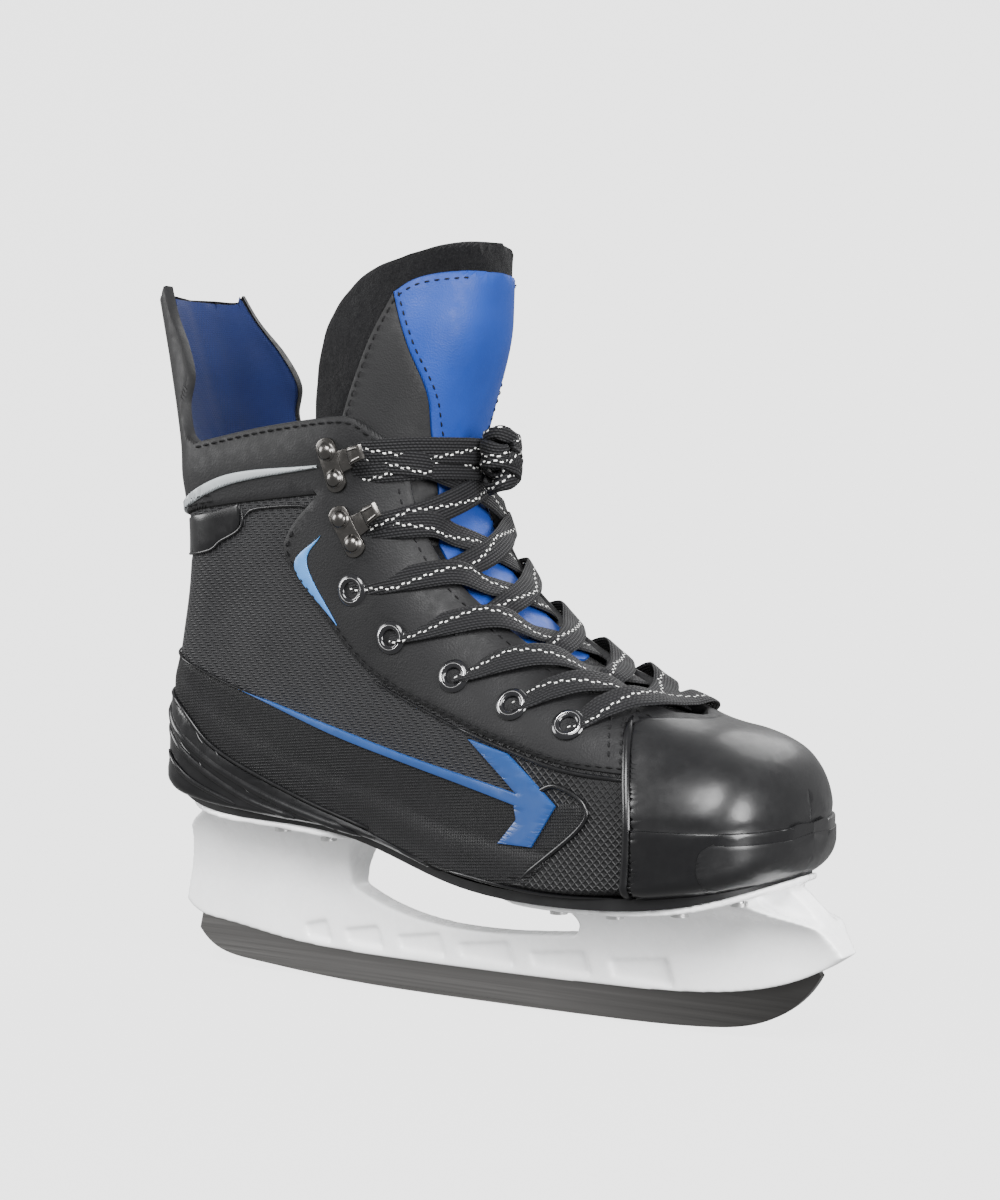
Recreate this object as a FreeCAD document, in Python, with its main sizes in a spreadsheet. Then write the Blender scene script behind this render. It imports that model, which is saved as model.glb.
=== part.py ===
import FreeCAD, Part
import math
import os

from FreeCAD import Placement, Rotation, Vector

# A right ice-hockey style skate. X runs from heel to toe, Z is up from the ice and
# -Y is the outer (lateral) side. Coordinates in the tables are counted from the
# blade's rear end; every finished piece is moved back by DIM["origin_x"], so the
# frame's origin is where the middle of the blade meets the ice.

DIM = {
    "origin_x": 140.0,
    "blade_thickness": 3.0,
    "slot_clearance": 0.15,
    "bridge_half_width": 5.5,
    "flange_thickness": 2.5,
    "outsole_drop": 1.2,
    "wall_thickness": 3.4,
    "toe_thickness": 2.6,
    "panel_recess": 1.0,
    "lining_thickness": 1.6,
    "board_thickness": 2.2,
    "footbed_thickness": 3.0,
    "throat_half_width": 26.0,
    "tongue_thickness": 6.0,
    "tongue_hinge_x": 146.0,
    "tongue_hinge_z": 219.0,
    "guard_hinge_z": 226.0,
    "motion_gap": 0.5,
    "eyelet_bore": 2.8,
    "eyelet_barrel": 3.6,
    "eyelet_rim": 6.2,
    "rivet_radius": 3.2,
    "lace_width": 8.5,
    "lace_thickness": 1.6,
}

# Boot cross-sections from the shaft's top down round the heel and out to the toe:
# back or sole point x, z; front or instep point x, z; half width at each of the two;
# length over which each end is rounded; sharpness of the first rounding.
STATIONS = [
    (-12, 295, 152, 295, 22, 26, 22, 40, 2.6),
    (-2, 268, 150, 270, 28, 30, 22, 40, 2.6),
    (8, 240, 147, 245, 35, 36, 23, 42, 2.5),
    (16, 212, 143, 220, 41, 42, 25, 44, 2.4),
    (19.5, 185, 140, 200, 42, 42, 26, 46, 2.4),
    (18, 160, 144, 183, 39.5, 42, 26, 50, 2.4),
    (12.5, 135, 153, 166, 36.5, 41.5, 25, 54, 2.4),
    (7, 112, 166, 151.5, 34.5, 41, 25, 56, 2.4),
    (4.5, 92, 182, 139, 33.5, 40.5, 24, 56, 2.4),
    (8, 76, 197, 130, 33, 41, 15, 54, 2.4),
    (26, 70, 209, 124.5, 32.5, 42, 9, 52, 2.4),
    (60, 66.5, 220, 119.5, 33, 43.5, 8, 50, 2.4),
    (105, 62.5, 230, 115.5, 35, 45, 8, 48, 2.4),
    (150, 51, 239, 112, 40, 45.5, 8, 46, 2.4),
    (195, 47.6, 247, 110, 45, 46, 8, 44, 2.4),
    (228, 49, 255, 108.5, 46, 46, 9, 40, 2.4),
    (252, 52.5, 262.5, 106, 43.5, 43, 9, 34, 2.4),
    (266, 56.5, 268.5, 102.5, 37.5, 37, 9, 28, 2.4),
    (273, 60, 273.5, 96, 28.5, 28, 9, 20, 2.2),
    (276.5, 64.5, 277, 88, 17, 16, 8, 12, 2.0),
]
TOE_SHRINK = {16: 0.3, 17: 0.6, 18: 0.9, 19: 1.0}
RING_STEPS = 13

# Outlines in side view, x and z.
SOLE = [(-30, 82), (8, 75), (26, 70), (60, 66.5), (105, 62.5), (150, 51), (195, 47.6),
        (228, 49), (252, 52.5), (266, 56.5), (300, 70)]
FACING_CORNER = (97, 190)
QUARTER_CORNER = (184, 83)
VAMP_CORNER = (160, 108)
TOE_CORNER = (230, 94)
CUFF_PEAK = (103, 219)
COLLAR_LOW = [(-30, 176), (10, 180), (50, 186), FACING_CORNER]
FACING_UPPER = [FACING_CORNER, (84, 178), (81, 167), (96, 148), (120, 124), VAMP_CORNER]
FACING_LOWER = [VAMP_CORNER, (180, 102), (205, 96), TOE_CORNER]
QUARTER_LOW = [(-30, 145), (10, 132), (50, 117), (100, 103), (140, 93), QUARTER_CORNER]
COUNTER_EDGE = [(-30, 118), (15, 112), (40, 92), (80, 76), (116, 66)]
TOE_SEAM_TOP = [(221, 128), (224, 113), TOE_CORNER]
TOE_SEAM_LOW = [TOE_CORNER, (233, 75), (231, 40)]
GUARD_EDGE = [(25.5, 226), (30, 237), (24, 250), (14, 263), (8, 274)]
CUFF_REAR = [(38, 211), (70, 216), CUFF_PEAK]
CUFF_FRONT = [CUFF_PEAK, (114, 218), (121, 213), (127, 203)]
EYELETS = [(112, 155), (129, 138), (156, 125), (181, 116), (204, 110)]
HOOKS = [((103, 206), (106, 196)), ((108, 181), (113, 172))]
WINDOWS = [(62, 76), (82, 101), (107, 130), (135, 161), (167, 194), (201, 228)]
REAR_RIVETS = [(26, 18), (44, 22), (66, 23), (88, 23)]
FRONT_RIVETS = [(176, 26), (196, 31), (220, 33), (244, 31), (262, 22)]

doc = FreeCAD.newDocument("ice_skate")
sheet = doc.addObject("Spreadsheet::Sheet", "Dims")
for row, (alias, value) in enumerate(DIM.items(), start=1):
    sheet.set("A%d" % row, alias)
    sheet.set("B%d" % row, "%g" % value)
    sheet.setAlias("B%d" % row, alias)
doc.recompute()

WALL = sheet.wall_thickness
RECESS = sheet.panel_recess
LINING = WALL + sheet.lining_thickness
BOARD_TOP = WALL + sheet.board_thickness
FOOTBED_TOP = BOARD_TOP + sheet.footbed_thickness
nodes = {}


def keep(obj, label):
    """Name a finished piece and move it into the frame."""
    obj.Label = label
    obj.setExpression(".Placement.Base.x", "-Dims.origin_x")
    nodes[label] = obj
    return obj


def feature(label, shape):
    """Store a built shape as its own object."""
    obj = doc.addObject("Part::Feature", label)
    moved = not shape.Placement.isIdentity()
    obj.Shape = Part.makeCompound([shape]) if moved else shape
    return keep(obj, label)


# ---------------------------------------------------------------- shape of the boot

def eased(values, s):
    """Smooth curve through equally spaced values."""
    i = min(max(int(s), 0), len(values) - 2)
    t = s - i
    slopes = []
    for k in (i, i + 1):
        before = values[max(k - 1, 0)]
        after = values[min(k + 1, len(values) - 1)]
        span = 2.0 if 0 < k < len(values) - 1 else 1.0
        slopes.append((after - before) / span)
    a, b = values[i], values[i + 1]
    return ((2 * t ** 3 - 3 * t * t + 1) * a + (t ** 3 - 2 * t * t + t) * slopes[0]
            + (-2 * t ** 3 + 3 * t * t) * b + (t ** 3 - t * t) * slopes[1])


def station(s, offset=0.0):
    """Section values at s, drawn in by offset on every side."""
    x0, z0, x1, z1, w0, w1, r0, r1, n0 = [eased([row[k] for row in STATIONS], s)
                                          for k in range(9)]
    length = math.hypot(x1 - x0, z1 - z0)
    ux, uz = (x1 - x0) / length, (z1 - z0) / length
    back = offset * TOE_SHRINK.get(int(round(s)), 0.0)
    return (x0 + ux * offset - back, z0 + uz * offset, x1 - ux * offset - back,
            z1 - uz * offset, w0 - offset, w1 - offset, max(r0 - 0.5 * offset, 3.0),
            max(r1 - 0.5 * offset, 6.0), n0)


def half_width(values, t):
    """Half width of a section at t, 0 at the back or sole and 1 at the front."""
    x0, z0, x1, z1, w0, w1, r0, r1, n0 = values
    length = math.hypot(x1 - x0, z1 - z0)
    width = w0 + (w1 - w0) * t * t * (3 - 2 * t)
    near = min(max(1 - t * length / r0, 0.0), 1.0)
    far = min(max(1 - (1 - t) * length / r1, 0.0), 1.0)
    return width * (1 - near ** n0) ** (1 / n0) * (1 - far ** 2.2) ** (1 / 2.2)


def section_point(values, t, side):
    x0, z0, x1, z1 = values[:4]
    return Vector(x0 + (x1 - x0) * t, side * half_width(values, t), z0 + (z1 - z0) * t)


def boot_solid(offset):
    """Solid inside the boot's surface, drawn in by a distance or by one per section."""
    steps = [(1 - math.cos(math.pi * k / RING_STEPS)) / 2 for k in range(RING_STEPS + 1)]
    rings = []
    for i in range(len(STATIONS)):
        values = station(i, offset(i) if callable(offset) else offset)
        ring = [section_point(values, t, -1) for t in steps]
        ring += [section_point(values, t, 1) for t in reversed(steps[1:-1])]
        places = [k / len(ring) for k in range(len(ring) + 1)]
        around = Part.BSplineCurve()
        around.interpolate(Points=ring, PeriodicFlag=True, Parameters=places)
        rings.append(around)
    along = []
    for column in zip(*[ring.getPoles() for ring in rings]):
        line = Part.BSplineCurve()
        line.interpolate(Points=list(column), Parameters=list(range(len(rings))))
        along.append(line)
    skin = Part.BSplineSurface()
    skin.buildFromPolesMultsKnots(
        [line.getPoles() for line in along], rings[0].getMultiplicities(),
        along[0].getMultiplicities(), rings[0].getKnots(), along[0].getKnots(),
        True, False, rings[0].Degree, along[0].Degree)
    side = skin.toShape()
    ends = [Part.Face(Part.Wire([edge])) for edge in side.Edges if edge.isClosed()]
    shell = Part.makeShell([side] + ends)
    shell.sewShape()
    solid = Part.makeSolid(shell)
    if solid.Volume < 0:
        solid.reverse()
    return solid


def section_at(x, z):
    """Section number and place on its chord that pass through x, z."""
    low, high = 0.0, len(STATIONS) - 1.0
    for _ in range(40):
        middle = (low + high) / 2
        x0, z0, x1, z1 = station(middle)[:4]
        if (x - x0) * (z1 - z0) - (z - z0) * (x1 - x0) > 0:
            low = middle
        else:
            high = middle
    x0, z0, x1, z1 = station(low)[:4]
    t = ((x - x0) * (x1 - x0) + (z - z0) * (z1 - z0)) / ((x1 - x0) ** 2 + (z1 - z0) ** 2)
    return low, min(max(t, 0.0), 1.0)


def surface_at(x, z):
    """Point on the outer side's surface at x, z, and the direction straight out of it."""
    def width(px, pz):
        s, t = section_at(px, pz)
        return half_width(station(s), t)

    slope_x = (width(x + 1, z) - width(x - 1, z)) / 2
    slope_z = (width(x, z + 1) - width(x, z - 1)) / 2
    normal = Vector(-slope_x, -1, -slope_z)
    normal.normalize()
    return Vector(x, -width(x, z), z), normal


def curve(points):
    """Straight edge through two points, smooth edge through more."""
    if len(points) == 2:
        return Part.makeLine(points[0], points[1])
    spline = Part.BSplineCurve()
    spline.interpolate(points)
    return spline.toShape()


def outline(*runs):
    """Closed wire in side view from runs of x, z points that join end to end."""
    return Part.Wire([curve([Vector(x, 0, z) for x, z in run]) for run in runs])


def slab(wire, y_low, y_high):
    """Solid of a side-view outline between two distances from the middle."""
    face = Part.Face(wire)
    face.translate(Vector(0, y_low, 0))
    return face.extrude(Vector(0, y_high - y_low, 0))


def closed(top, bottom):
    """Outline between two left-to-right curves."""
    return outline(top, [top[-1], bottom[-1]], bottom[::-1], [bottom[0], top[0]])


def raised(points, rise):
    return [(x, z + rise) for x, z in points]


def side_view(points):
    """Outline of straight edges."""
    loop = points + [points[0]]
    return outline(*[[loop[i], loop[i + 1]] for i in range(len(points))])


def mirrored(shape):
    return shape.mirror(Vector(0, 0, 0), Vector(0, 1, 0))


def plan_solid(points, z_low, z_high):
    """Upright solid of a smooth plan outline given on one side and mirrored."""
    both = points + [(x, -y) for x, y in reversed(points[1:-1])]
    spline = Part.BSplineCurve()
    spline.interpolate(Points=[Vector(x, y, z_low) for x, y in both], PeriodicFlag=True)
    return Part.Face(Part.Wire([spline.toShape()])).extrude(Vector(0, 0, z_high - z_low))


def one_solid(shape):
    """The largest solid of a boolean's result."""
    return max(shape.Solids, key=lambda solid: solid.Volume)


# ---------------------------------------------------------------- shells
outer = boot_solid(0.0)
recessed = boot_solid(RECESS)
wall_inside = boot_solid(WALL)
lining_inside = boot_solid(LINING)
pad_inside = boot_solid(LINING + 4.0)
throat_half = sheet.throat_half_width
THROAT = [(238, 0), (232, 11), (215, 17.5), (185, 20), (160, 22), (140, throat_half),
          (125, throat_half + 3), (112, 24), (106, 0)]
throat = plan_solid(THROAT, 100, 300)
proud_shell = outer.cut(wall_inside).cut(throat)
flush_shell = recessed.cut(wall_inside).cut(throat)
lining_shell = wall_inside.cut(lining_inside).cut(throat)


def panel(shell, wire, y_low=-80.0, y_high=0.0):
    return one_solid(shell.common(slab(wire, y_low, y_high)))


def pair(name, shell, wire, holes=()):
    """Matching pieces on the outer and inner sides."""
    lateral = panel(shell, wire)
    for point, normal in holes:
        lateral = lateral.cut(Part.makeCylinder(sheet.eyelet_barrel + 0.1, 16,
                                                point - normal * 8, normal))
    feature(name + "_lateral", lateral)
    feature(name + "_medial", mirrored(lateral))


toe_wire = outline(TOE_SEAM_TOP, TOE_SEAM_LOW, [TOE_SEAM_LOW[-1], (300, 40)],
                   [(300, 40), (300, 128)], [(300, 128), TOE_SEAM_TOP[0]])
toe_shell = outer.cut(boot_solid(sheet.toe_thickness)).cut(throat)
feature("toe_cap", panel(toe_shell, toe_wire, -80, 80))

quarter_wire = outline(
    COLLAR_LOW, FACING_UPPER, [VAMP_CORNER, QUARTER_CORNER], QUARTER_LOW[::-1],
    [QUARTER_LOW[0], COLLAR_LOW[0]])
pair("quarter", flush_shell, quarter_wire)

guard_wire = outline(
    QUARTER_LOW, [QUARTER_CORNER, (188, 60)], [(188, 60), (188, 30)], [(188, 30), (116, 30)],
    [(116, 30), COUNTER_EDGE[-1]], COUNTER_EDGE[::-1], [COUNTER_EDGE[0], QUARTER_LOW[0]])
pair("side_guard", flush_shell, guard_wire)

counter_wire = outline(
    COUNTER_EDGE, [COUNTER_EDGE[-1], (116, 30)], [(116, 30), (-30, 30)], [(-30, 30), COUNTER_EDGE[0]])
feature("heel_counter", panel(proud_shell, counter_wire, -80, 80))

vamp_wire = outline(
    FACING_LOWER, TOE_SEAM_LOW, [TOE_SEAM_LOW[-1], (188, 30)], [(188, 30), (188, 60)],
    [(188, 60), QUARTER_CORNER], [QUARTER_CORNER, VAMP_CORNER])
pair("vamp", flush_shell, vamp_wire)

facing_wire = outline(
    FACING_UPPER, FACING_LOWER, TOE_SEAM_TOP[::-1], [TOE_SEAM_TOP[0], (221, 150)],
    [(221, 150), (180, 190)], [(180, 190), (150, 203)], [(150, 203), CUFF_FRONT[-1]],
    CUFF_FRONT[::-1], [CUFF_PEAK, FACING_CORNER])
eyelet_seats = [surface_at(x, z) for x, z in EYELETS]
pair("facing", proud_shell, facing_wire, eyelet_seats)

collar_wire = outline(
    [(-30, 226), GUARD_EDGE[0]], [GUARD_EDGE[0], (31, 213), CUFF_REAR[0]], CUFF_REAR,
    [CUFF_PEAK, FACING_CORNER], COLLAR_LOW[::-1], [COLLAR_LOW[0], (-30, 226)])
pair("collar", proud_shell, collar_wire)

piping_wire = outline(
    [(-30, 182), (20, 186), (55, 198), (98, 201)], [(98, 201), (98, 200)],
    [(98, 200), (55, 194), (20, 182), (-30, 178)], [(-30, 178), (-30, 182)])
piping_shell = boot_solid(-0.6).cut(outer)
pair("piping", piping_shell, piping_wire)

stripe_wire = outline(
    [(54, 116), (100, 104), (140, 94), (185, 85)], [(185, 85), (164, 103)],
    [(164, 103), (181, 99)], [(181, 99), (202, 82)], [(202, 82), (192, 67)],
    [(192, 67), (177, 67)], [(177, 67), (185, 76)], [(185, 76), (184, 81)],
    [(184, 81), (140, 91), (100, 101), (54, 116)])
trim_shell = outer.cut(recessed)
pair("stripe", trim_shell, stripe_wire)

crescent_wire = outline([(99, 175), (86, 163), (105, 142)], [(105, 142), (92, 164), (99, 175)])
pair("crescent", piping_shell, crescent_wire)

guard_shape = outline(
    [(-30, 226.5), (25.3, 226.5)], [(25.3, 226.5)] + GUARD_EDGE[1:], [GUARD_EDGE[-1], (2, 270)],
    [(2, 270), (-30, 269)], [(-30, 269), (-30, 226.5)])
feature("tendon_guard", panel(proud_shell, guard_shape, -80, 80))
guard_lining = outline(
    [(-30, 226.5), (23.3, 226.5)], [(23.3, 226.5), (28, 237), (22, 249), (12, 262), (6, 270)],
    [(6, 270), (2, 268)], [(2, 268), (-30, 267)], [(-30, 267), (-30, 226.5)])
feature("tendon_guard_lining", panel(lining_shell, guard_lining, -80, 80))

lining_wire = outline(
    [(-30, 226), (23.3, 226)], [(23.3, 226), (30, 212), (38, 210)],
    [(38, 210)] + raised(CUFF_REAR[1:] + CUFF_FRONT[1:3], -1.5) + [(125, 203)],
    [(125, 203), (240, 150)], [(240, 150), (240, 100)], [(240, 100), (233, 56)],
    [(233, 56)] + raised(SOLE[7:0:-1], BOARD_TOP + 0.2),
    [(8, 75 + BOARD_TOP + 0.2), (-30, 84)], [(-30, 84), (-30, 226)])
pair("lining", lining_shell, lining_wire, eyelet_seats)

pad_wire = outline([(45, 150), (52, 172), (72, 178), (90, 165), (92, 142)],
                   [(92, 142), (84, 122), (66, 112), (50, 124), (45, 150)])
pair("ankle_pad", lining_inside.cut(pad_inside), pad_wire)

board_band = slab(closed(raised(SOLE, BOARD_TOP), raised(SOLE, -6)), -80, 80)
feature("insole_board", one_solid(wall_inside.common(board_band).common(slab(
    side_view([(-30, 30), (262, 30), (262, 90), (-30, 90)]), -80, 80))))
footbed_band = slab(closed(raised(SOLE, FOOTBED_TOP), raised(SOLE, BOARD_TOP + 0.3)), -80, 80)
feature("footbed", one_solid(lining_inside.common(footbed_band).common(slab(
    side_view([(-30, 30), (258, 30), (258, 90), (-30, 90)]), -80, 80))))

outsole_plan = plan_solid([(6, 0), (11, -18), (30, -27), (70, -28.5), (110, -29.5), (150, -34),
                           (195, -40), (228, -41), (252, -36), (267, -24), (274, 0)], 30, 100)
outsole_band = slab(closed(raised(SOLE, 3), raised(SOLE, -sheet.outsole_drop)), -80, 80)
feature("outsole", one_solid(outsole_plan.common(outsole_band).cut(outer)))

# ---------------------------------------------------------------- tongue
TONGUE_IN = 5.6


def tongue_offset(i, extra=0.0):
    """The tongue lies inside the lining and flares out above the collar."""
    return {0: 0.0, 1: 0.0, 2: 0.4}.get(i, TONGUE_IN) + extra


tongue_shell = boot_solid(tongue_offset).cut(
    boot_solid(lambda i: tongue_offset(i, sheet.tongue_thickness)))
FLAP_BACK = [(92.5, 219.5), (93, 225), (102, 245), (114, 265), (125, 278.5)]
FLAP_TOP = [(125, 278.5), (133, 284), (160, 287)]
flap_wire = outline(
    FLAP_BACK, FLAP_TOP, [(160, 287), (160, 219.5)], [(160, 219.5), (92.5, 219.5)])
felt_wire = outline(
    FLAP_BACK, FLAP_TOP, [(160, 287), (160, 274)], [(160, 274), (135, 271)],
    [(135, 271), (122, 260), (110, 241), (102, 222)], [(102, 222), (101.5, 219.5)],
    [(101.5, 219.5), (92.5, 219.5)])
tongue_flap = one_solid(tongue_shell.common(slab(flap_wire, -80, 80)))
skin_shell = boot_solid(tongue_offset).cut(boot_solid(lambda i: tongue_offset(i, 1.4)))
flap_skin = skin_shell.common(slab(flap_wire, -80, 80)).cut(slab(felt_wire, -80, 80))
centre_plan = plan_solid([(170, 0), (165, 22), (136, 27), (120, 33), (112, 12), (106, 0)], 200, 300)
flap_panel = one_solid(flap_skin.common(centre_plan))
sides = flap_skin.cut(centre_plan)
feature("tongue_felt", one_solid(tongue_flap.cut(flap_skin)))
feature("tongue_panel", flap_panel)
side_solids = sorted(sides.Solids, key=lambda solid: solid.CenterOfMass.y)
feature("tongue_side_lateral", side_solids[0])
feature("tongue_side_medial", side_solids[-1])
low_wire = outline(
    [(92.5, 219), (160, 219)], [(160, 219), (250, 190)], [(250, 190), (250, 100)],
    [(250, 100), (232, 92)], [(232, 92), (200, 101), (160, 116), (130, 136), (108, 165), (92.5, 200)],
    [(92.5, 200), (92.5, 219)])
feature("tongue_lower", one_solid(tongue_shell.common(slab(low_wire, -80, 80))))

# ---------------------------------------------------------------- blade and holder
blade = doc.addObject("PartDesign::Body", "blade")


def base_plane(body, role):
    return next(f for f in body.Origin.OriginFeatures if f.Role == role)


def sketch_on(body, role, name, edges, depth=0.0):
    """Sketch made of ready edges on one of the body's own planes."""
    sketch = body.newObject("Sketcher::SketchObject", name)
    sketch.AttachmentSupport = [(base_plane(body, role), "")]
    sketch.MapMode = "FlatFace"
    sketch.AttachmentOffset = Placement(Vector(0, 0, depth), Rotation())
    for geometry in edges:
        sketch.addGeometry(geometry, False)
    return sketch


def flat(x, z):
    return Vector(x, z, 0)


def flat_curve(points):
    spline = Part.BSplineCurve()
    spline.interpolate([flat(x, z) for x, z in points])
    return spline


def flat_line(a, b):
    return Part.LineSegment(flat(*a), flat(*b))


BLADE_EDGE = [(5, 14), (12, 8), (33, 3.5), (70, 1), (140, 0), (200, 0.5), (238, 2), (260, 6),
              (274, 14), (283, 25)]
sketch = sketch_on(blade, "XZ_Plane", "blade_profile", [
    flat_curve(BLADE_EDGE), flat_line(BLADE_EDGE[-1], (280, 29)), flat_line((280, 29), (240, 21)),
    flat_line((240, 21), (240, 30)), flat_line((240, 30), (230, 30)),
    flat_line((230, 30), (230, 20.7)), flat_line((230, 20.7), (140, 18)),
    flat_line((140, 18), (50, 22.3)), flat_line((50, 22.3), (50, 30)),
    flat_line((50, 30), (40, 30)), flat_line((40, 30), (40, 22.8)),
    flat_line((40, 22.8), (8, 27)), flat_line((8, 27), BLADE_EDGE[0])])
blade_pad = blade.newObject("PartDesign::Pad", "blade_pad")
blade_pad.Profile = sketch
blade_pad.Midplane = True
blade_pad.setExpression("Length", "Dims.blade_thickness")
keep(blade, "blade")

HOLDER_LOW = [(1, 26), (6, 22), (20, 19), (50, 15), (100, 12.5), (200, 13), (240, 15), (270, 21),
              (293, 33)]
half = sheet.bridge_half_width
drop = sheet.outsole_drop
under = raised(SOLE, -drop)
holder_side = outline(
    [HOLDER_LOW[0], (5, 44), (15, 76)], [(15, 76), (96, 66)], [(96, 66), (88, 52), (86, 39)],
    [(86, 39), (100, 33), (140, 27), (187, 30)], [(187, 30), (189, 34), (184, 40), (170, 51)],
    [(170, 51), (268, 58)], [(268, 58), (284, 45), HOLDER_LOW[-1]], HOLDER_LOW[::-1])
bridge = slab(holder_side, -half, half)


def flare(rows):
    """Upright tower from rounded rectangles: z, rear x, front x, half width."""
    wires = []
    for z, x_low, x_high, w in rows:
        box = Part.makePlane(x_high - x_low, 2 * w, Vector(x_low, -w, z))
        wires.append(box.OuterWire)
    return Part.makeLoft(wires, True, False)


rear_tower = flare([(24, -4, 92, half), (36, -4, 93, half), (48, 2, 96, half + 2),
                    (57, 8, 99, half + 6), (64, 18, 100, half + 12), (74, 24, 100, half + 18)])
front_tower = flare([(18, 186, 296, half), (28, 184, 298, half), (37, 180, 296, half + 2),
                     (43, 176, 286, half + 6), (48, 178, 268, half + 12), (58, 184, 256, half + 22)])
heel_flange = plan_solid([(13, 0), (17, -19), (30, -27.5), (66, -29), (96, -27.5), (104, -12), (99, 0)],
                         30, 100)
ball_flange = plan_solid([(160, 0), (163, -22), (175, -32), (200, -37), (230, -38.5), (255, -34),
                          (270, -22), (276, 0)], 30, 100)
flange_band = slab(closed(under, raised(SOLE, -drop - sheet.flange_thickness)), -80, 80)
below = slab(closed(under, [(x, 0) for x, z in SOLE]), -80, 80)
towers = rear_tower.fuse(front_tower).common(slab(holder_side, -40, 40))
holder = bridge.fuse(towers).common(below)
holder = holder.fuse([heel_flange.common(flange_band), ball_flange.common(flange_band)])
slot_half = sheet.blade_thickness / 2 + sheet.slot_clearance
slot_wire = outline(
    [(0, 0), (0, 27.5)], [(0, 27.5), (36, 23.4)], [(36, 23.4), (140, 18.4)], [(140, 18.4), (240, 21.4)],
    [(240, 21.4), (286, 30)], [(286, 30), (300, 0)], [(300, 0), (0, 0)])
holder = holder.cut(slab(slot_wire, -slot_half, slot_half))
for x in (45, 235):
    holder = holder.cut(Part.makeBox(10.6, 2 * slot_half, 20, Vector(x - 5.3, -slot_half, 10.5)))
for start, end in WINDOWS:
    lift = 22.5 if end > 200 else 21.5
    window = side_view([(start + 2, 16.5), (end, 15.5), (end - 3, lift + 3), (start, lift)])
    for side in (-1, 1):
        holder = holder.cut(slab(window, side * half - 1.6, side * half + 1.6))


def sole_z(x):
    for (xa, za), (xb, zb) in zip(SOLE, SOLE[1:]):
        if xa <= x <= xb:
            return za + (zb - za) * (x - xa) / (xb - xa)


rivet_spots = [(x, side * y) for x, y in REAR_RIVETS + FRONT_RIVETS for side in (-1, 1)]
shank = 2.0
for x, y in rivet_spots:
    hole = Part.makeCylinder(shank + 0.1, 20, Vector(x, y, sole_z(x) - 12))
    holder = holder.cut(hole)
feature("blade_holder", one_solid(holder))


def revolved(name, profile):
    """Body turned about its own Z from a half section of radius and height."""
    body = doc.addObject("PartDesign::Body", name)
    loop = profile + [profile[0]]
    edges = [flat_line(a, b) for a, b in zip(loop, loop[1:])]
    half_section = sketch_on(body, "XZ_Plane", name + "_section", edges)
    turn = body.newObject("PartDesign::Revolution", name + "_turn")
    turn.Profile = half_section
    turn.ReferenceAxis = (base_plane(body, "Z_Axis"), [""])
    turn.Angle = 360
    doc.recompute()
    return body.Shape


def set_at(shape, point, direction):
    """Copy with its Z axis along a direction and its origin at a point."""
    copy = shape.copy()
    copy.Placement = Placement(point, Rotation(Vector(0, 0, 1), direction))
    return copy


def group(label, shapes):
    feature(label, Part.makeCompound(shapes))


def both_sides(label, shapes):
    group(label + "_lateral", shapes)
    group(label + "_medial", [mirrored(shape) for shape in shapes])


# ---------------------------------------------------------------- fasteners
head = sheet.rivet_radius
long_rivet = revolved("sole_rivet", [(0, -1.6), (head, -1.4), (head, 0), (shank, 0), (shank, 3.4),
                                     (0, 3.4)])
group("sole_rivets", [
    set_at(long_rivet, Vector(x, y, sole_z(x) - drop - sheet.flange_thickness - 0.05), Vector(0, 0, 1))
    for x, y in rivet_spots])

bore = sheet.eyelet_bore
rim = sheet.eyelet_rim
barrel = sheet.eyelet_barrel
eyelet = revolved("eyelet", [(bore, -3.2), (barrel, -3.2), (barrel, 0.2), (rim, 0.2), (rim, 0.7),
                             (rim - 0.9, 1.4), (bore + 0.7, 1.5), (bore, 0.8)])
both_sides("eyelets", [set_at(eyelet, *seat) for seat in eyelet_seats])

dome = revolved("hook_rivet", [(0, 0), (3.4, 0), (3.2, 1.0), (2.2, 2.0), (0.9, 2.5), (0, 2.6)])
plate_thickness = 0.9
plates = []
domes = []
for upper, lower in HOOKS:
    top_point, normal = surface_at(*upper)
    low_point, _ = surface_at(*lower)
    rise = top_point - low_point
    gap = rise.Length
    up = rise.normalize()
    ahead = up.cross(normal).normalize()
    normal = ahead.cross(up)
    seat = Placement(FreeCAD.Matrix(
        ahead.x, up.x, normal.x, low_point.x, ahead.y, up.y, normal.y, low_point.y,
        ahead.z, up.z, normal.z, low_point.z, 0, 0, 0, 1))
    strap = Part.makeBox(6.4, gap, plate_thickness, Vector(-3.2, 0, 0.4))
    discs = [Part.makeCylinder(4.6, plate_thickness, Vector(0, y, 0.4)) for y in (0, gap)]
    hook_side = Part.makePolygon([Vector(x, 0, z) for x, z in (
        (0, 0.4), (9.8, 0.4), (9.8, 4.4), (16, 4.4), (16, 5.3), (8.9, 5.3), (8.9, 1.3), (0, 1.3),
        (0, 0.4))])
    hook = Part.Face(hook_side).extrude(Vector(0, 7.6, 0))
    hook.translate(Vector(0, gap / 2 - 3.8, 0))
    plate = strap.fuse(discs + [hook]).removeSplitter()
    plate.Placement = seat
    plates.append(plate)
    for y in (0, gap):
        domes.append(set_at(dome, low_point + up * y + normal * (plate_thickness + 0.45), normal))
for number, name in enumerate(("hook_upper", "hook_lower")):
    both_sides(name, [plates[number]])
both_sides("hook_rivets", domes)

bolt = revolved("blade_bolt", [(0, -6), (2.6, -6), (2.6, 4), (4.4, 4), (4.4, 8), (0, 8)])
group("blade_bolts", [set_at(bolt, Vector(x, 0, 33), Vector(0, 0, 1)) for x in (45, 235)])

# ---------------------------------------------------------------- lace
PLY = sheet.lace_thickness
WIDE = sheet.lace_width


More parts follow.
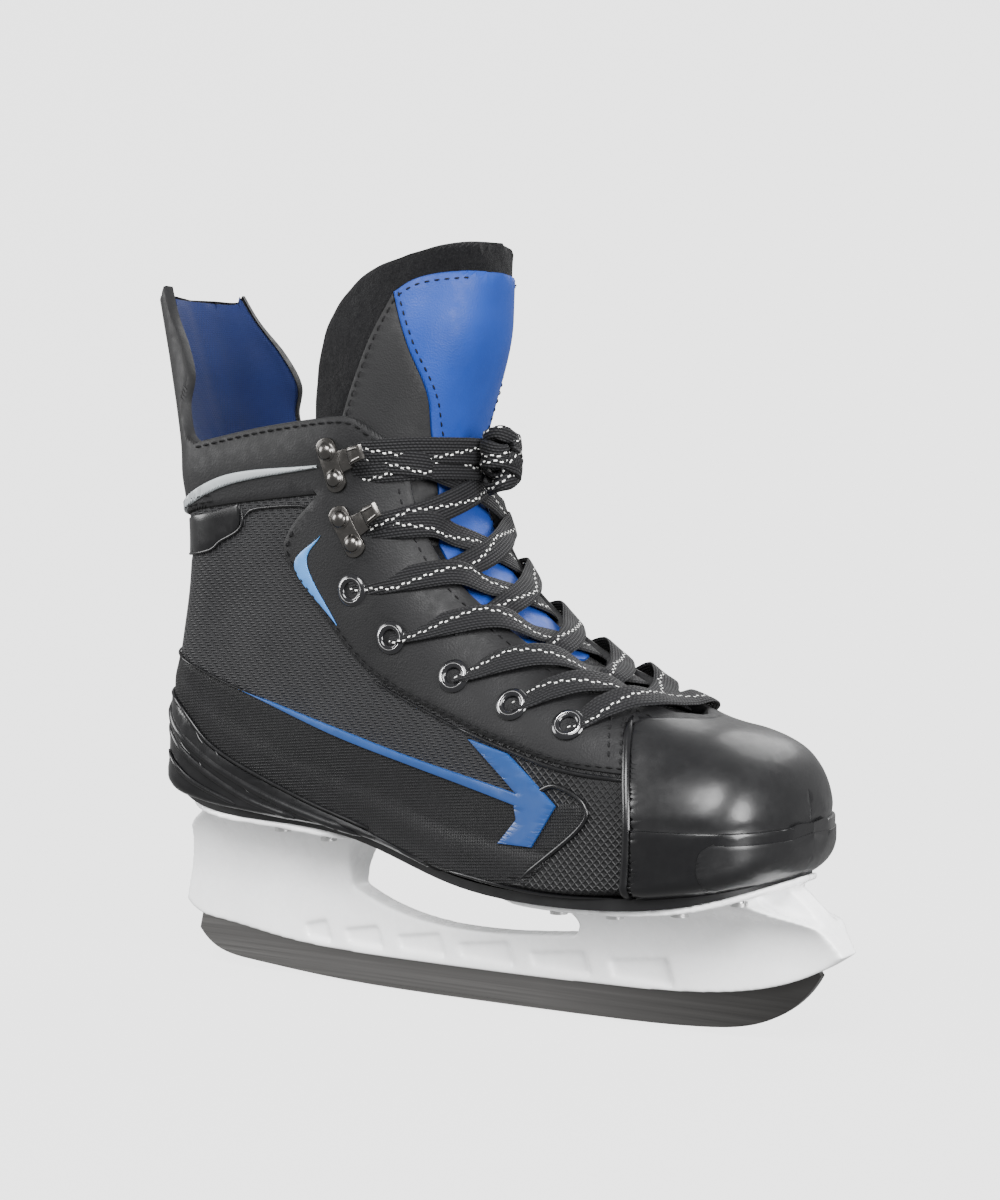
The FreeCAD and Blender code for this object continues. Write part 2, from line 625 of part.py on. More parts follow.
def front_point(s, y, lift, lowest=0.5):
    """Point over the front of section s at a distance y from the middle."""
    below_s = min(int(s), len(STATIONS) - 2)
    share = s - below_s
    values = [a + (b - a) * share
              for a, b in zip(station(below_s, -lift), station(below_s + 1, -lift))]
    low, high = lowest, 1.0
    for _ in range(40):
        middle = (low + high) / 2
        if half_width(values, middle) > abs(y):
            low = middle
        else:
            high = middle
    return section_point(values, low, 1 if y > 0 else -1)


def ribbon(path, out, width=WIDE, ply=PLY):
    """Flat lace along a list of points, with the way out of the boot at each."""
    wires = []
    for k, point in enumerate(path):
        before = path[max(k - 1, 0)]
        after = path[min(k + 1, len(path) - 1)]
        along = (after - before).normalize()
        across = along.cross(out[k]).normalize() * (width / 2)
        up = across.cross(along).normalize() * (ply / 2)
        corners = [point + across + up, point - across + up, point - across - up, point + across - up]
        wires.append(Part.makePolygon(corners + [corners[0]]))
    return Part.makeLoft(wires, True, True)


def throat_width(x):
    """Half width of the gap between the facings at x."""
    for (xa, ya), (xb, yb) in zip(THROAT[1:], THROAT[2:]):
        if xb <= x <= xa:
            return yb + (ya - yb) * (x - xb) / (xa - xb)
    return THROAT[1][1] if x > THROAT[1][0] else sheet.throat_half_width


def crossing(start, end, side, centre_lift, under=True, edge_lift=2.9, stop=None):
    """Flat lace from outside the boot at start across to end on the other side.

    It ends just under the edge of the far facing, or outside it when under is false,
    or at the distance stop from the middle.
    """
    s_start, t_start = section_at(*start)
    s_end, t_end = section_at(*end)
    lowest = min(t_start, t_end) - 0.02
    y_start = -half_width(station(round(s_start), -edge_lift), t_start)
    end_x = front_point(s_end, 20, 0).x
    y_end = throat_width(end_x) - 3.0
    if not under:
        y_end = half_width(station(round(s_end), -edge_lift), t_end)
    if stop is not None:
        y_end = stop
    path, out = [], []
    steps = 14
    for k in range(steps + 1):
        share = k / steps
        y = y_start + (y_end - y_start) * share
        place = s_start + (s_end - s_start) * share
        gap = throat_width(front_point(place, y, 0, lowest).x)
        blend = min(max((abs(y) - gap + 12) / 13, 0.0), 1.0)
        if under and y > 0:
            blend = 0.0
        lift = centre_lift + (edge_lift - centre_lift) * blend * blend * (3 - 2 * blend)
        here = front_point(place, y, lift, lowest)
        out.append((front_point(place, y, lift + 1.0, lowest) - here).normalize())
        path.append(here)
    lace = ribbon(path, out)
    return lace if side < 0 else mirrored(lace)


LOW_HOOK = (127, 178)
TOP_HOOK = (124, 203)
stops = [LOW_HOOK] + EYELETS
pairs = list(zip(stops, stops[1:]))
group("lace_strands_lateral", [crossing(high, low, -1, -3.6) for high, low in pairs])
group("lace_strands_medial", [crossing(high, low, 1, -1.2) for high, low in pairs])
group("lace_hook_strands", [crossing(TOP_HOOK, LOW_HOOK, -1, -3.6, False),
                            crossing(TOP_HOOK, LOW_HOOK, 1, -1.2, False)])
group("lace_first_bar", [crossing(EYELETS[4], (212, 107), -1, 0.6, False)])
knot_centre = Vector(152, 0, 203)
knot = Part.makeSphere(1.0)
stretch = FreeCAD.Matrix()
stretch.scale(8.5, 8.5, 10.5)
knot = knot.transformGeometry(stretch)
knot.translate(knot_centre)
feature("lace_knot", knot)

top_strand = crossing(TOP_HOOK, (139, 200), -1, 3.2, False, stop=-3.0)
group("lace_top_strands", [top_strand, mirrored(top_strand)])

doc.recompute()
for obj in doc.Objects:
    if "Invalid" in obj.State or "Error" in obj.State:
        raise SystemExit("%s is not well built: %s" % (obj.Label, obj.State))
for label, obj in nodes.items():
    if obj.Shape.isNull() or not obj.Shape.isValid():
        raise SystemExit("%s has no valid shape" % label)
    print("%-24s %8.0f mm3 %d" % (label, obj.Shape.Volume, len(obj.Shape.Solids)))
os.makedirs("parts", exist_ok=True)
for label, obj in nodes.items():
    obj.Shape.exportStep("parts/%s.step" % label)
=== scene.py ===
import math

import bmesh
import bpy
import numpy as np
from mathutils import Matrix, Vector, geometry, kdtree


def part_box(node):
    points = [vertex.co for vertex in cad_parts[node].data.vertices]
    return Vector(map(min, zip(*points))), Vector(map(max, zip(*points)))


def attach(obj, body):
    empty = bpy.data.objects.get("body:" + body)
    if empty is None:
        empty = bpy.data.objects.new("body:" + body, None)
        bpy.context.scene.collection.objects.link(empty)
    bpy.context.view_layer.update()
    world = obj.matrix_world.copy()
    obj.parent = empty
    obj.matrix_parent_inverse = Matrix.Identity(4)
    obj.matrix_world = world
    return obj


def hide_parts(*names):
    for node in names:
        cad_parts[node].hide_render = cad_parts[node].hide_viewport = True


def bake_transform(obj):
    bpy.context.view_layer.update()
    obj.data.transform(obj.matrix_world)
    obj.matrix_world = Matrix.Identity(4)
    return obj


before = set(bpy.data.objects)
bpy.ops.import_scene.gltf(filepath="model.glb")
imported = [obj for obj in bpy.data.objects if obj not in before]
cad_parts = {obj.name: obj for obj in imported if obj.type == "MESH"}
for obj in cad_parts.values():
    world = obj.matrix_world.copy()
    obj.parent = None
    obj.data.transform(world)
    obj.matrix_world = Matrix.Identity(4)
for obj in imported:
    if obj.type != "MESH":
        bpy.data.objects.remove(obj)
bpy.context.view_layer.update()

# Lengths in the tables are millimetres, with X to the toe, Z up and -Y the outer side. The
# blade's rear end is at X = BLADE_REAR; the frame's origin is the middle of the blade.
MM = 0.001
BLADE_REAR = 5.0
BACK, FRONT = -30, 300   # X of points well behind the heel and well ahead of the toe
ORIGIN_X = BLADE_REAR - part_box("blade")[0].x / MM

# Boot sections: back or sole point x, z; front or instep point x, z; half width at each;
# length over which each end is rounded; sharpness of the first rounding.
STATIONS = np.array([
    (-12, 295, 152, 295, 22, 26, 22, 40, 2.6),
    (-2, 268, 150, 270, 28, 30, 22, 40, 2.6),
    (8, 240, 147, 245, 35, 36, 23, 42, 2.5),
    (16, 212, 143, 220, 41, 42, 25, 44, 2.4),
    (19.5, 185, 140, 200, 42, 42, 26, 46, 2.4),
    (18, 160, 144, 183, 39.5, 42, 26, 50, 2.4),
    (12.5, 135, 153, 166, 36.5, 41.5, 25, 54, 2.4),
    (7, 112, 166, 151.5, 34.5, 41, 25, 56, 2.4),
    (4.5, 92, 182, 139, 33.5, 40.5, 24, 56, 2.4),
    (8, 76, 197, 130, 33, 41, 15, 54, 2.4),
    (26, 70, 209, 124.5, 32.5, 42, 9, 52, 2.4),
    (60, 66.5, 220, 119.5, 33, 43.5, 8, 50, 2.4),
    (105, 62.5, 230, 115.5, 35, 45, 8, 48, 2.4),
    (150, 51, 239, 112, 40, 45.5, 8, 46, 2.4),
    (195, 47.6, 247, 110, 45, 46, 8, 44, 2.4),
    (228, 49, 255, 108.5, 46, 46, 9, 40, 2.4),
    (252, 52.5, 262.5, 106, 43.5, 43, 9, 34, 2.4),
    (266, 56.5, 268.5, 102.5, 37.5, 37, 9, 28, 2.4),
    (273, 60, 273.5, 96, 28.5, 28, 9, 20, 2.2),
    (276.5, 64.5, 277, 88, 17, 16, 8, 12, 2.0),
    (277.3, 68, 277.6, 84, 11, 10, 6, 8, 2.0),
    (278, 74, 278, 78, 0, 0, 4, 4, 2.0),
], float)
LAST = len(STATIONS) - 1


# ------------------------------------------------------------------ surface of the boot

def sections(s):
    """Section values at each s, on a smooth curve through the table's rows."""
    s = np.clip(np.asarray(s, float), 0, LAST)
    i = np.minimum(s.astype(int), LAST - 1)
    t = (s - i)[:, None]
    slopes = np.gradient(STATIONS, axis=0)
    a, b, ma, mb = STATIONS[i], STATIONS[i + 1], slopes[i], slopes[i + 1]
    t2, t3 = t * t, t * t * t
    return ((2 * t3 - 3 * t2 + 1) * a + (t3 - 2 * t2 + t) * ma
            + (-2 * t3 + 3 * t2) * b + (t3 - t2) * mb)


def skin(s, a):
    """Points on the outer side: section s, place a from 0 at the back to 1 in front."""
    x0, z0, x1, z1, w0, w1, r0, r1, n0 = sections(s).T
    t = (1 - np.cos(np.pi * np.clip(a, 0, 1))) / 2
    length = np.hypot(x1 - x0, z1 - z0)
    width = w0 + (w1 - w0) * t * t * (3 - 2 * t)
    near = np.clip(1 - t * length / r0, 0, 1)
    far = np.clip(1 - (1 - t) * length / r1, 0, 1)
    y = width * (1 - near ** n0) ** (1 / n0) * (1 - far ** 2.2) ** (1 / 2.2)
    return np.stack([x0 + (x1 - x0) * t, -y, z0 + (z1 - z0) * t], -1)


def slopes_at(s, a):
    s = np.clip(s, 0.012, LAST - 0.012)
    a = np.clip(a, 0.006, 0.994)
    ds = (skin(s + 0.01, a) - skin(s - 0.01, a)) / 0.02
    da = (skin(s, a + 0.004) - skin(s, a - 0.004)) / 0.008
    return ds, da


def outward(s, a):
    """Unit direction out of the boot."""
    ds, da = slopes_at(s, a)
    n = np.cross(ds, da)
    n /= np.linalg.norm(n, axis=1, keepdims=True) + 1e-12
    return n


def off_skin(s, a, lift):
    """Points lifted off the skin; lift is in millimetres, outward."""
    s, a = np.asarray(s, float), np.asarray(a, float)
    points = skin(s, a) + outward(s, a) * np.asarray(lift, float).reshape(-1, 1)
    points[a < 1e-6, 1] = 0.0
    points[a > 1 - 1e-6, 1] = 0.0
    return points


def locate(x, z):
    """Section and place of points given in side view."""
    x, z = np.asarray(x, float), np.asarray(z, float)
    low, high = np.zeros(len(x)), np.full(len(x), float(LAST))
    for _ in range(34):
        s = (low + high) / 2
        x0, z0, x1, z1 = sections(s).T[:4]
        above = (x - x0) * (z1 - z0) - (z - z0) * (x1 - x0) > 0
        low, high = np.where(above, s, low), np.where(above, high, s)
    x0, z0, x1, z1 = sections(low).T[:4]
    t = ((x - x0) * (x1 - x0) + (z - z0) * (z1 - z0)) / ((x1 - x0) ** 2 + (z1 - z0) ** 2)
    return low, np.arccos(1 - 2 * np.clip(t, 0, 1)) / np.pi


GRID_S, GRID_A = np.meshgrid(np.linspace(0, LAST, 191), np.linspace(0, 1, 61), indexing="ij")
GRID_S, GRID_A = GRID_S.ravel(), GRID_A.ravel()
GRID_P = skin(GRID_S, GRID_A)
grid_tree = kdtree.KDTree(len(GRID_P))
for index, point in enumerate(GRID_P):
    grid_tree.insert(point, index)
grid_tree.balance()


def settle(points):
    """Section and place of the skin's points nearest to the given ones."""
    found = [grid_tree.find(p)[1] for p in points]
    s, a = GRID_S[found].copy(), GRID_A[found].copy()
    for _ in range(4):
        ds, da = slopes_at(s, a)
        gap = points - skin(s, a)
        aa, bb, ab = (ds * ds).sum(1), (da * da).sum(1), (ds * da).sum(1)
        ga, gb = (ds * gap).sum(1), (da * gap).sum(1)
        det = aa * bb - ab * ab + 1e-9
        s = np.clip(s + np.clip((ga * bb - gb * ab) / det, -0.3, 0.3), 0, LAST)
        a = np.clip(a + np.clip((gb * aa - ga * ab) / det, -0.05, 0.05), 0, 1)
    return s, a


def wrapped(points):
    """Flat pattern coordinates in metres: along the boot's side, and up."""
    across = np.abs(points[:, 1])
    half = 33 + 10 * np.clip((points[:, 0] - 100) / 100, 0, 1)
    along = points[:, 0] - 0.8 * np.clip(half - across, 0, None) * np.where(
        points[:, 0] < 90, 1, -1)
    return np.stack([along * MM, points[:, 2] * MM], -1)


# ------------------------------------------------------------------ outlines

def smooth(points, per=8):
    """Points on a smooth curve through the given ones."""
    p = np.asarray(points, float)
    if len(p) == 2:
        return p
    ext = np.vstack([2 * p[0] - p[1], p, 2 * p[-1] - p[-2]])
    out = []
    for k in range(1, len(ext) - 2):
        p0, p1, p2, p3 = ext[k - 1:k + 3]
        for t in np.linspace(0, 1, per, endpoint=False):
            out.append(0.5 * (2 * p1 + (p2 - p0) * t + (2 * p0 - 5 * p1 + 4 * p2 - p3) * t * t
                              + (3 * p1 - p0 - 3 * p2 + p3) * t ** 3))
    out.append(p[-1])
    return np.array(out)


def distances(p):
    """Distance along a polyline to each of its points."""
    return np.concatenate([[0], np.cumsum(np.linalg.norm(np.diff(p, axis=0), axis=1))])


def evenly(points, step):
    """The polyline cut into equal steps of about the given length."""
    p = np.asarray(points, float)
    run = distances(p)
    count = max(int(round(run[-1] / step)), 1)
    places = np.linspace(0, run[-1], count + 1)
    return np.stack([np.interp(places, run, p[:, k]) for k in range(p.shape[1])], -1)


def loop(*runs, step=1.6):
    """Closed outline from runs of side-view points; a run of two points is straight."""
    parts = []
    for run in runs:
        parts.append(evenly(smooth(run), step)[:-1])
    return np.vstack(parts)


def inside(px, py, poly):
    """Which points lie in a closed polygon."""
    hit = np.zeros(len(px), bool)
    x, y = poly[:, 0], poly[:, 1]
    for k in range(len(poly)):
        j = k - 1
        cross = (y[k] > py) != (y[j] > py)
        if cross.any():
            edge = (x[j] - x[k]) * (py - y[k]) / (y[j] - y[k] + 1e-12) + x[k]
            hit ^= cross & (px < edge)
    return hit


# ------------------------------------------------------------------ meshes

def new_object(name, verts, faces, material, uv=None, smooth_angle=40.0):
    """Mesh object from points in metres; uv is one pair per point."""
    mesh = bpy.data.meshes.new(name)
    mesh.from_pydata([tuple(v) for v in verts], [], [tuple(int(i) for i in f) for f in faces])
    if uv is not None:
        layer = mesh.uv_layers.new(name="UVMap")
        index = np.empty(len(mesh.loops), int)
        mesh.loops.foreach_get("vertex_index", index)
        layer.data.foreach_set("uv", np.asarray(uv, float)[index].ravel())
    mesh.validate()
    mesh.update()
    mesh.polygons.foreach_set("use_smooth", [True] * len(mesh.polygons))
    mesh.set_sharp_from_angle(angle=math.radians(smooth_angle))
    obj = bpy.data.objects.new(name, mesh)
    bpy.context.collection.objects.link(obj)
    obj.data.materials.append(material)
    return obj


def to_frame(points):
    p = np.array(points, float) * MM
    p[:, 0] -= ORIGIN_X * MM
    return p


def flip_y(points):
    p = np.array(points, float)
    p[:, 1] *= -1
    return p


def nearest_gap(points, targets, block=200):
    """Distance from each point to the nearest target, a block of targets at a time."""
    gap = np.full(len(points), 1e9)
    for start in range(0, len(targets), block):
        part = targets[start:start + block]
        gap = np.minimum(gap, np.linalg.norm(points[:, None, :] - part[None], axis=2).min(1))
    return gap


def panel(name, outline, material, lift=0.0, thick=3.0, edge=1.4, grid=2.6, sides="pair",
          shape=None, body="boot", inner=False):
    """Closed sheet on the boot's skin inside a side-view outline.

    Its face is at lift with edges rounded over edge mm, and its back thick mm below. With
    inner its good face is the inward one. shape(points, s, a) adds to the good face.
    sides is pair or whole, where the two halves are joined along the middle.
    """
    s, a = locate(outline[:, 0], outline[:, 1])
    keep = [0]
    for k in range(1, len(s)):
        if abs(s[k] - s[keep[-1]]) > 1e-3 or abs(a[k] - a[keep[-1]]) > 1e-3:
            keep.append(k)
    s, a = s[keep], a[keep]
    rim = skin(s, a)
    on_middle = (a < 1e-6) | (a > 1 - 1e-6) | (s > LAST - 0.01)
    scale = np.array([8.0, 110.0])   # makes section and place about equal in millimetres
    poly = np.stack([s, a], -1) * scale
    free = rim[~on_middle]
    rings = []
    around = np.roll(rim, -1, 0) - np.roll(rim, 1, 0)
    around /= np.linalg.norm(around, axis=1, keepdims=True) + 1e-9
    inward = np.cross(outward(s, a), around)
    for inset in (0.35 * edge, edge):
        best = None
        for sign in (1, -1):
            rs, ra = settle(rim + inward * sign * inset)
            ok = inside(rs * scale[0], ra * scale[1], poly)
            if best is None or ok.sum() > best[2].sum():
                best = (rs, ra, ok)
        rs, ra, ok = best
        points = skin(rs, ra)
        gap = nearest_gap(points, free)
        ok &= (gap > 0.7 * inset) & ~on_middle
        rings.append((rs[ok], ra[ok]))
    near = inside(GRID_S * scale[0], GRID_A * scale[1], poly)
    gs, ga, gp = GRID_S[near], GRID_A[near], GRID_P[near]
    if len(gp):
        gap = nearest_gap(gp, free)
        clear = (gap > edge + 0.4 * grid) & (ga > 0.008) & (ga < 0.992)
        gs, ga, gp = gs[clear], ga[clear], gp[clear]
        chosen, taken = [], set()
        for k, p in enumerate(gp):
            cell = tuple((p / grid).round().astype(int))
            if cell not in taken:
                taken.add(cell)
                chosen.append(k)
        gs, ga = gs[chosen], ga[chosen]
    all_s = np.concatenate([s] + [r[0] for r in rings] + [gs])
    all_a = np.concatenate([a] + [r[1] for r in rings] + [ga])
    flat = np.stack([all_s, all_a], -1) * scale
    count = len(s)
    edges = [(k, (k + 1) % count) for k in range(count)]
    out = geometry.delaunay_2d_cdt([Vector(p) for p in flat], edges, [], 1, 1e-5)
    flat = np.array([tuple(p) for p in out[0]])
    tris = list(out[2])
    vs, va = flat[:, 0] / scale[0], np.clip(flat[:, 1] / scale[1], 0, 1)
    va[va < 1e-4] = 0.0
    va[va > 1 - 1e-4] = 1.0
    base = skin(vs, va)
    gap = nearest_gap(base, free)
    drop = edge * (1 - np.sqrt(np.clip(1 - (1 - np.clip(gap / edge, 0, 1)) ** 2, 0, 1)))
    drop = np.minimum(drop, 0.7 * thick)
    relief = -drop if shape is None else shape(base, vs, va) - drop
    if inner:
        top = off_skin(vs, va, np.full(len(vs), 1.0) * lift)
        low = off_skin(vs, va, lift - thick - relief)
    else:
        top = off_skin(vs, va, lift + relief)
        low = off_skin(vs, va, lift - thick + np.minimum(relief, 0))
    directed = {}
    for f in tris:
        for k in range(3):
            directed[(f[k], f[(k + 1) % 3])] = True
    border = [e for e in directed if (e[1], e[0]) not in directed]
    middle = {k for k in range(len(va)) if va[k] <= 0.0 or va[k] >= 1.0}
    n = len(vs)
    faces = list(tris) + [tuple(i + n for i in reversed(f)) for f in tris]
    for i, j in border:
        if sides == "whole" and i in middle and j in middle:
            continue
        faces.append((j, i, i + n, j + n))
    points = np.vstack([top, low])
    uv = np.vstack([wrapped(base), wrapped(base)])
    test = tris[len(tris) // 2]
    p0, p1, p2 = (top[i] for i in test)
    if np.dot(np.cross(p1 - p0, p2 - p0), outward(vs[list(test)], va[list(test)]).mean(0)) < 0:
        faces = [tuple(reversed(f)) for f in faces]
    made = []
    if sides == "whole":
        both = np.vstack([points, flip_y(points)])
        mirror = [tuple(i + 2 * n for i in reversed(f)) for f in faces]
        obj = new_object(name, to_frame(both), faces + mirror, material,
                         np.vstack([uv, uv]))
        mesh = bmesh.new()
        mesh.from_mesh(obj.data)
        bmesh.ops.remove_doubles(mesh, verts=mesh.verts, dist=1e-5)
        mesh.to_mesh(obj.data)
        mesh.free()
        obj.data.set_sharp_from_angle(angle=math.radians(40))
        made.append(obj)
    else:
        made.append(new_object(name + "_lateral", to_frame(points), faces, material, uv))
        mirror = [tuple(reversed(f)) for f in faces]
        made.append(new_object(name + "_medial", to_frame(flip_y(points)), mirror,
                               material, uv))
    for obj in made:
        if body:
            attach(obj, body)
    return made


# ------------------------------------------------------------------ materials

class Paint:
    """A procedural material: constants go on the shader, detail comes from nodes."""

    def __init__(self, name, colour=(0.5, 0.5, 0.5), **constants):
        self.material = bpy.data.materials.new(name)
        self.material.use_nodes = True
        self.tree = self.material.node_tree
        self.shader = self.tree.nodes["Principled BSDF"]
        self.shader.inputs["Base Color"].default_value = (*colour, 1)
        for key, value in constants.items():
            self.shader.inputs[key.replace("_", " ")].default_value = value
        self.bumps = None

    def plug(self, value, socket):
        if isinstance(value, bpy.types.NodeSocket):
            self.tree.links.new(value, socket)
        else:
            socket.default_value = value

    def node(self, kind, inputs, **settings):
        made = self.tree.nodes.new(kind)
        for key, value in settings.items():
            setattr(made, key, value)
        for key, value in inputs.items():
            self.plug(value, made.inputs[key])
        return made

    def math(self, operation, *values):
        made = self.node("ShaderNodeMath", dict(enumerate(values)), operation=operation)
        return made.outputs[0]

    def times(self, a, b):
        return self.math("MULTIPLY", a, b)

    def plus(self, a, b):
        return self.math("ADD", a, b)

    def minus(self, a, b):
        return self.math("SUBTRACT", a, b)

    def ridges(self, value):
        """Rounded ridges, one for each pi of the value."""
        return self.math("ABSOLUTE", self.math("SINE", value))

    def place(self, kind="Object", scale=(1, 1, 1)):
        made = self.node("ShaderNodeTexCoord", {})
        return self.node("ShaderNodeMapping", {"Vector": made.outputs[kind],
                                               "Scale": scale}).outputs[0]

    def noise(self, scale, detail=3.0, vector=None, rough=0.5):
        return self.node("ShaderNodeTexNoise", {
            "Vector": vector or self.place(), "Scale": scale, "Detail": detail,
            "Roughness": rough}).outputs[0]

    def cells(self, scale):
        return self.node("ShaderNodeTexVoronoi", {
            "Vector": self.place(), "Scale": scale}).outputs["Distance"]

    def between(self, value, low, high, out_low=0.0, out_high=1.0):
        return self.node("ShaderNodeMapRange", {
            "Value": value, "From Min": low, "From Max": high, "To Min": out_low,
            "To Max": out_high}).outputs[0]

    def mix(self, factor, a, b):
        made = self.node("ShaderNodeMix", {0: factor}, data_type="RGBA")
        for socket, value in ((6, a), (7, b)):
            if isinstance(value, tuple):
                value = (*value, 1) if len(value) == 3 else value
            self.plug(value, made.inputs[socket])
        return made.outputs[2]

    def colour(self, value):
        self.plug(value, self.shader.inputs["Base Color"])

    def rough(self, value):
        self.plug(value, self.shader.inputs["Roughness"])

    def bump(self, height, distance, strength=1.0):
        inputs = {"Height": height, "Distance": distance, "Strength": strength}
        if self.bumps is not None:
            inputs["Normal"] = self.bumps
        self.bumps = self.node("ShaderNodeBump", inputs).outputs[0]
        self.tree.links.new(self.bumps, self.shader.inputs["Normal"])

    def uv(self):
        split = self.node("ShaderNodeSeparateXYZ", {"Vector": self.place("UV")})
        return split.outputs[0], split.outputs[1]

    def xyz(self):
        split = self.node("ShaderNodeSeparateXYZ", {"Vector": self.place()})
        return split.outputs[0], split.outputs[1], split.outputs[2]


def shade(colour, factor):
    return tuple(c * factor for c in colour)


def leather(name, colour, rough=0.5, grain=1300.0, depth=0.00012, sheen=0.015):
    """Coated synthetic leather with a fine pebbled grain."""
    paint = Paint(name, colour, Sheen_Weight=sheen, Sheen_Roughness=0.5,
                  Specular_IOR_Level=0.22)
    cloud = paint.noise(55.0, 4.0)
    paint.colour(paint.mix(cloud, shade(colour, 0.8), shade(colour, 1.22)))
    paint.rough(paint.between(paint.noise(240.0, 3.0), 0.3, 0.7, rough - 0.07, rough + 0.08))
    paint.bump(paint.cells(grain), depth, 0.55)
    paint.bump(paint.noise(90.0, 3.0), 0.0006, 0.12)
    return paint.material


def moulded(name, colour, rough=0.25, coat=0.3, orange=0.1):
    """Injection-moulded plastic with faint flow marks and handling scuffs."""
    paint = Paint(name, colour, Coat_Weight=coat, Coat_Roughness=0.12,
                  Specular_IOR_Level=0.34)
    scuff = paint.noise(30.0, 6.0, rough=0.7)
    paint.colour(paint.mix(scuff, shade(colour, 0.88), shade(colour, 1.12)))
    paint.rough(paint.between(paint.noise(160.0, 5.0, rough=0.65), 0.35, 0.75,
                              rough - 0.04, rough + 0.09))
    paint.bump(paint.noise(420.0, 2.0), 0.0001, orange)
    return paint.material


def twill_weave():
    """Fine carbon-look twill under a thin film, with the tows that lie over painted lighter as a painted
    sheen.
    """
    paint = Paint("carbon_twill", (0.015, 0.015, 0.016), Specular_IOR_Level=0.26)
    u, v = paint.uv()
    cell = 0.001
    column = paint.math("DIVIDE", u, cell)
    row = paint.math("DIVIDE", v, cell)
    step = paint.plus(paint.math("FLOOR", column), paint.math("FLOOR", row))
    over = paint.math("LESS_THAN", paint.math("FLOORED_MODULO", step, 4.0), 2.0)
    across = paint.ridges(paint.times(column, math.pi))
    along = paint.ridges(paint.times(row, math.pi))
    height = paint.plus(paint.times(over, paint.times(across, 0.8)),
                        paint.times(paint.minus(1.0, over), along))
    # Painted sheen: tows that lie over are coloured lighter than those under them; noise adds random
    # tone.
    painted_light_and_tone = paint.plus(paint.times(over, 0.55), paint.times(paint.noise(70.0, 5.0), 0.5))
    paint.colour(paint.mix(painted_light_and_tone, (0.005, 0.005, 0.006), (0.022, 0.022, 0.023)))
    paint.rough(paint.between(over, 0.0, 1.0, 0.5, 0.36))
    paint.bump(height, 0.00035, 0.8)
    return paint.material


def square_mesh(name, cell, low, high, rough, turn, depth):
    """Grid of small raised squares or diamonds, with painted shade in the pits between them."""
    paint = Paint(name, high, Specular_IOR_Level=0.26)
    u, v = paint.uv()
    cos, sin = math.cos(turn), math.sin(turn)
    a = paint.plus(paint.times(u, cos), paint.times(v, sin))
    b = paint.minus(paint.times(v, cos), paint.times(u, sin))
    waves = []
    for value in (a, b):
        waves.append(paint.ridges(paint.times(value, math.pi / cell)))
    pit = paint.math("MINIMUM", waves[0], waves[1])
    pit = paint.between(pit, 0.15, 0.75)
    # Painted shade: the pits take the dark low colour and the raised squares the high one, varied at
    # random by noise.
    painted_pit_shade = paint.times(pit, paint.between(paint.noise(60.0, 4.0), 0.2, 0.8, 0.6, 1.1))
    paint.colour(paint.mix(painted_pit_shade, high, low))
    paint.rough(paint.between(pit, 0.0, 1.0, rough, rough + 0.3))
    paint.bump(paint.minus(1.0, pit), depth, 0.8)
    return paint.material


def felt_cloth():
    """Short black nap with a dusting of paler fibres."""
    paint = Paint("black_felt", (0.013, 0.013, 0.014), Sheen_Weight=0.05, Sheen_Roughness=0.45,
                  Specular_IOR_Level=0.1)
    fibre = paint.noise(1600.0, 5.0, rough=0.8)
    clump = paint.noise(260.0, 4.0)
    paint.colour(paint.mix(paint.between(fibre, 0.45, 0.75), (0.002, 0.002, 0.0025),
                           (0.014, 0.014, 0.015)))
    paint.rough(paint.between(clump, 0.2, 0.8, 0.82, 1.0))
    paint.bump(fibre, 0.0007, 0.9)
    paint.bump(clump, 0.0012, 0.5)
    return paint.material


def knit_cloth(name, colour, cell=0.0011):
    """Brushed warp-knit lining, with painted shade in the knit's hollows."""
    paint = Paint(name, colour, Sheen_Weight=0.04, Sheen_Roughness=0.4,
                  Specular_IOR_Level=0.25)
    u, v = paint.uv()
    rib = paint.ridges(paint.times(u, math.pi / cell))
    loops = paint.ridges(paint.plus(paint.times(v, math.pi / (cell * 0.8)), paint.times(rib, 1.2)))
    weave = paint.times(rib, loops)
    cloud = paint.noise(38.0, 5.0)
    # Painted shade: the knit's crests are coloured lighter than its hollows; noise adds random tone.
    painted_light_and_tone = paint.plus(paint.times(weave, 0.35), paint.times(cloud, 0.65))
    paint.colour(paint.mix(painted_light_and_tone, shade(colour, 0.62), shade(colour, 1.35)))
    paint.rough(paint.between(cloud, 0.3, 0.7, 0.7, 0.9))
    paint.bump(weave, 0.00022, 0.5)
    paint.bump(paint.noise(45.0, 4.0), 0.003, 0.25)
    return paint.material


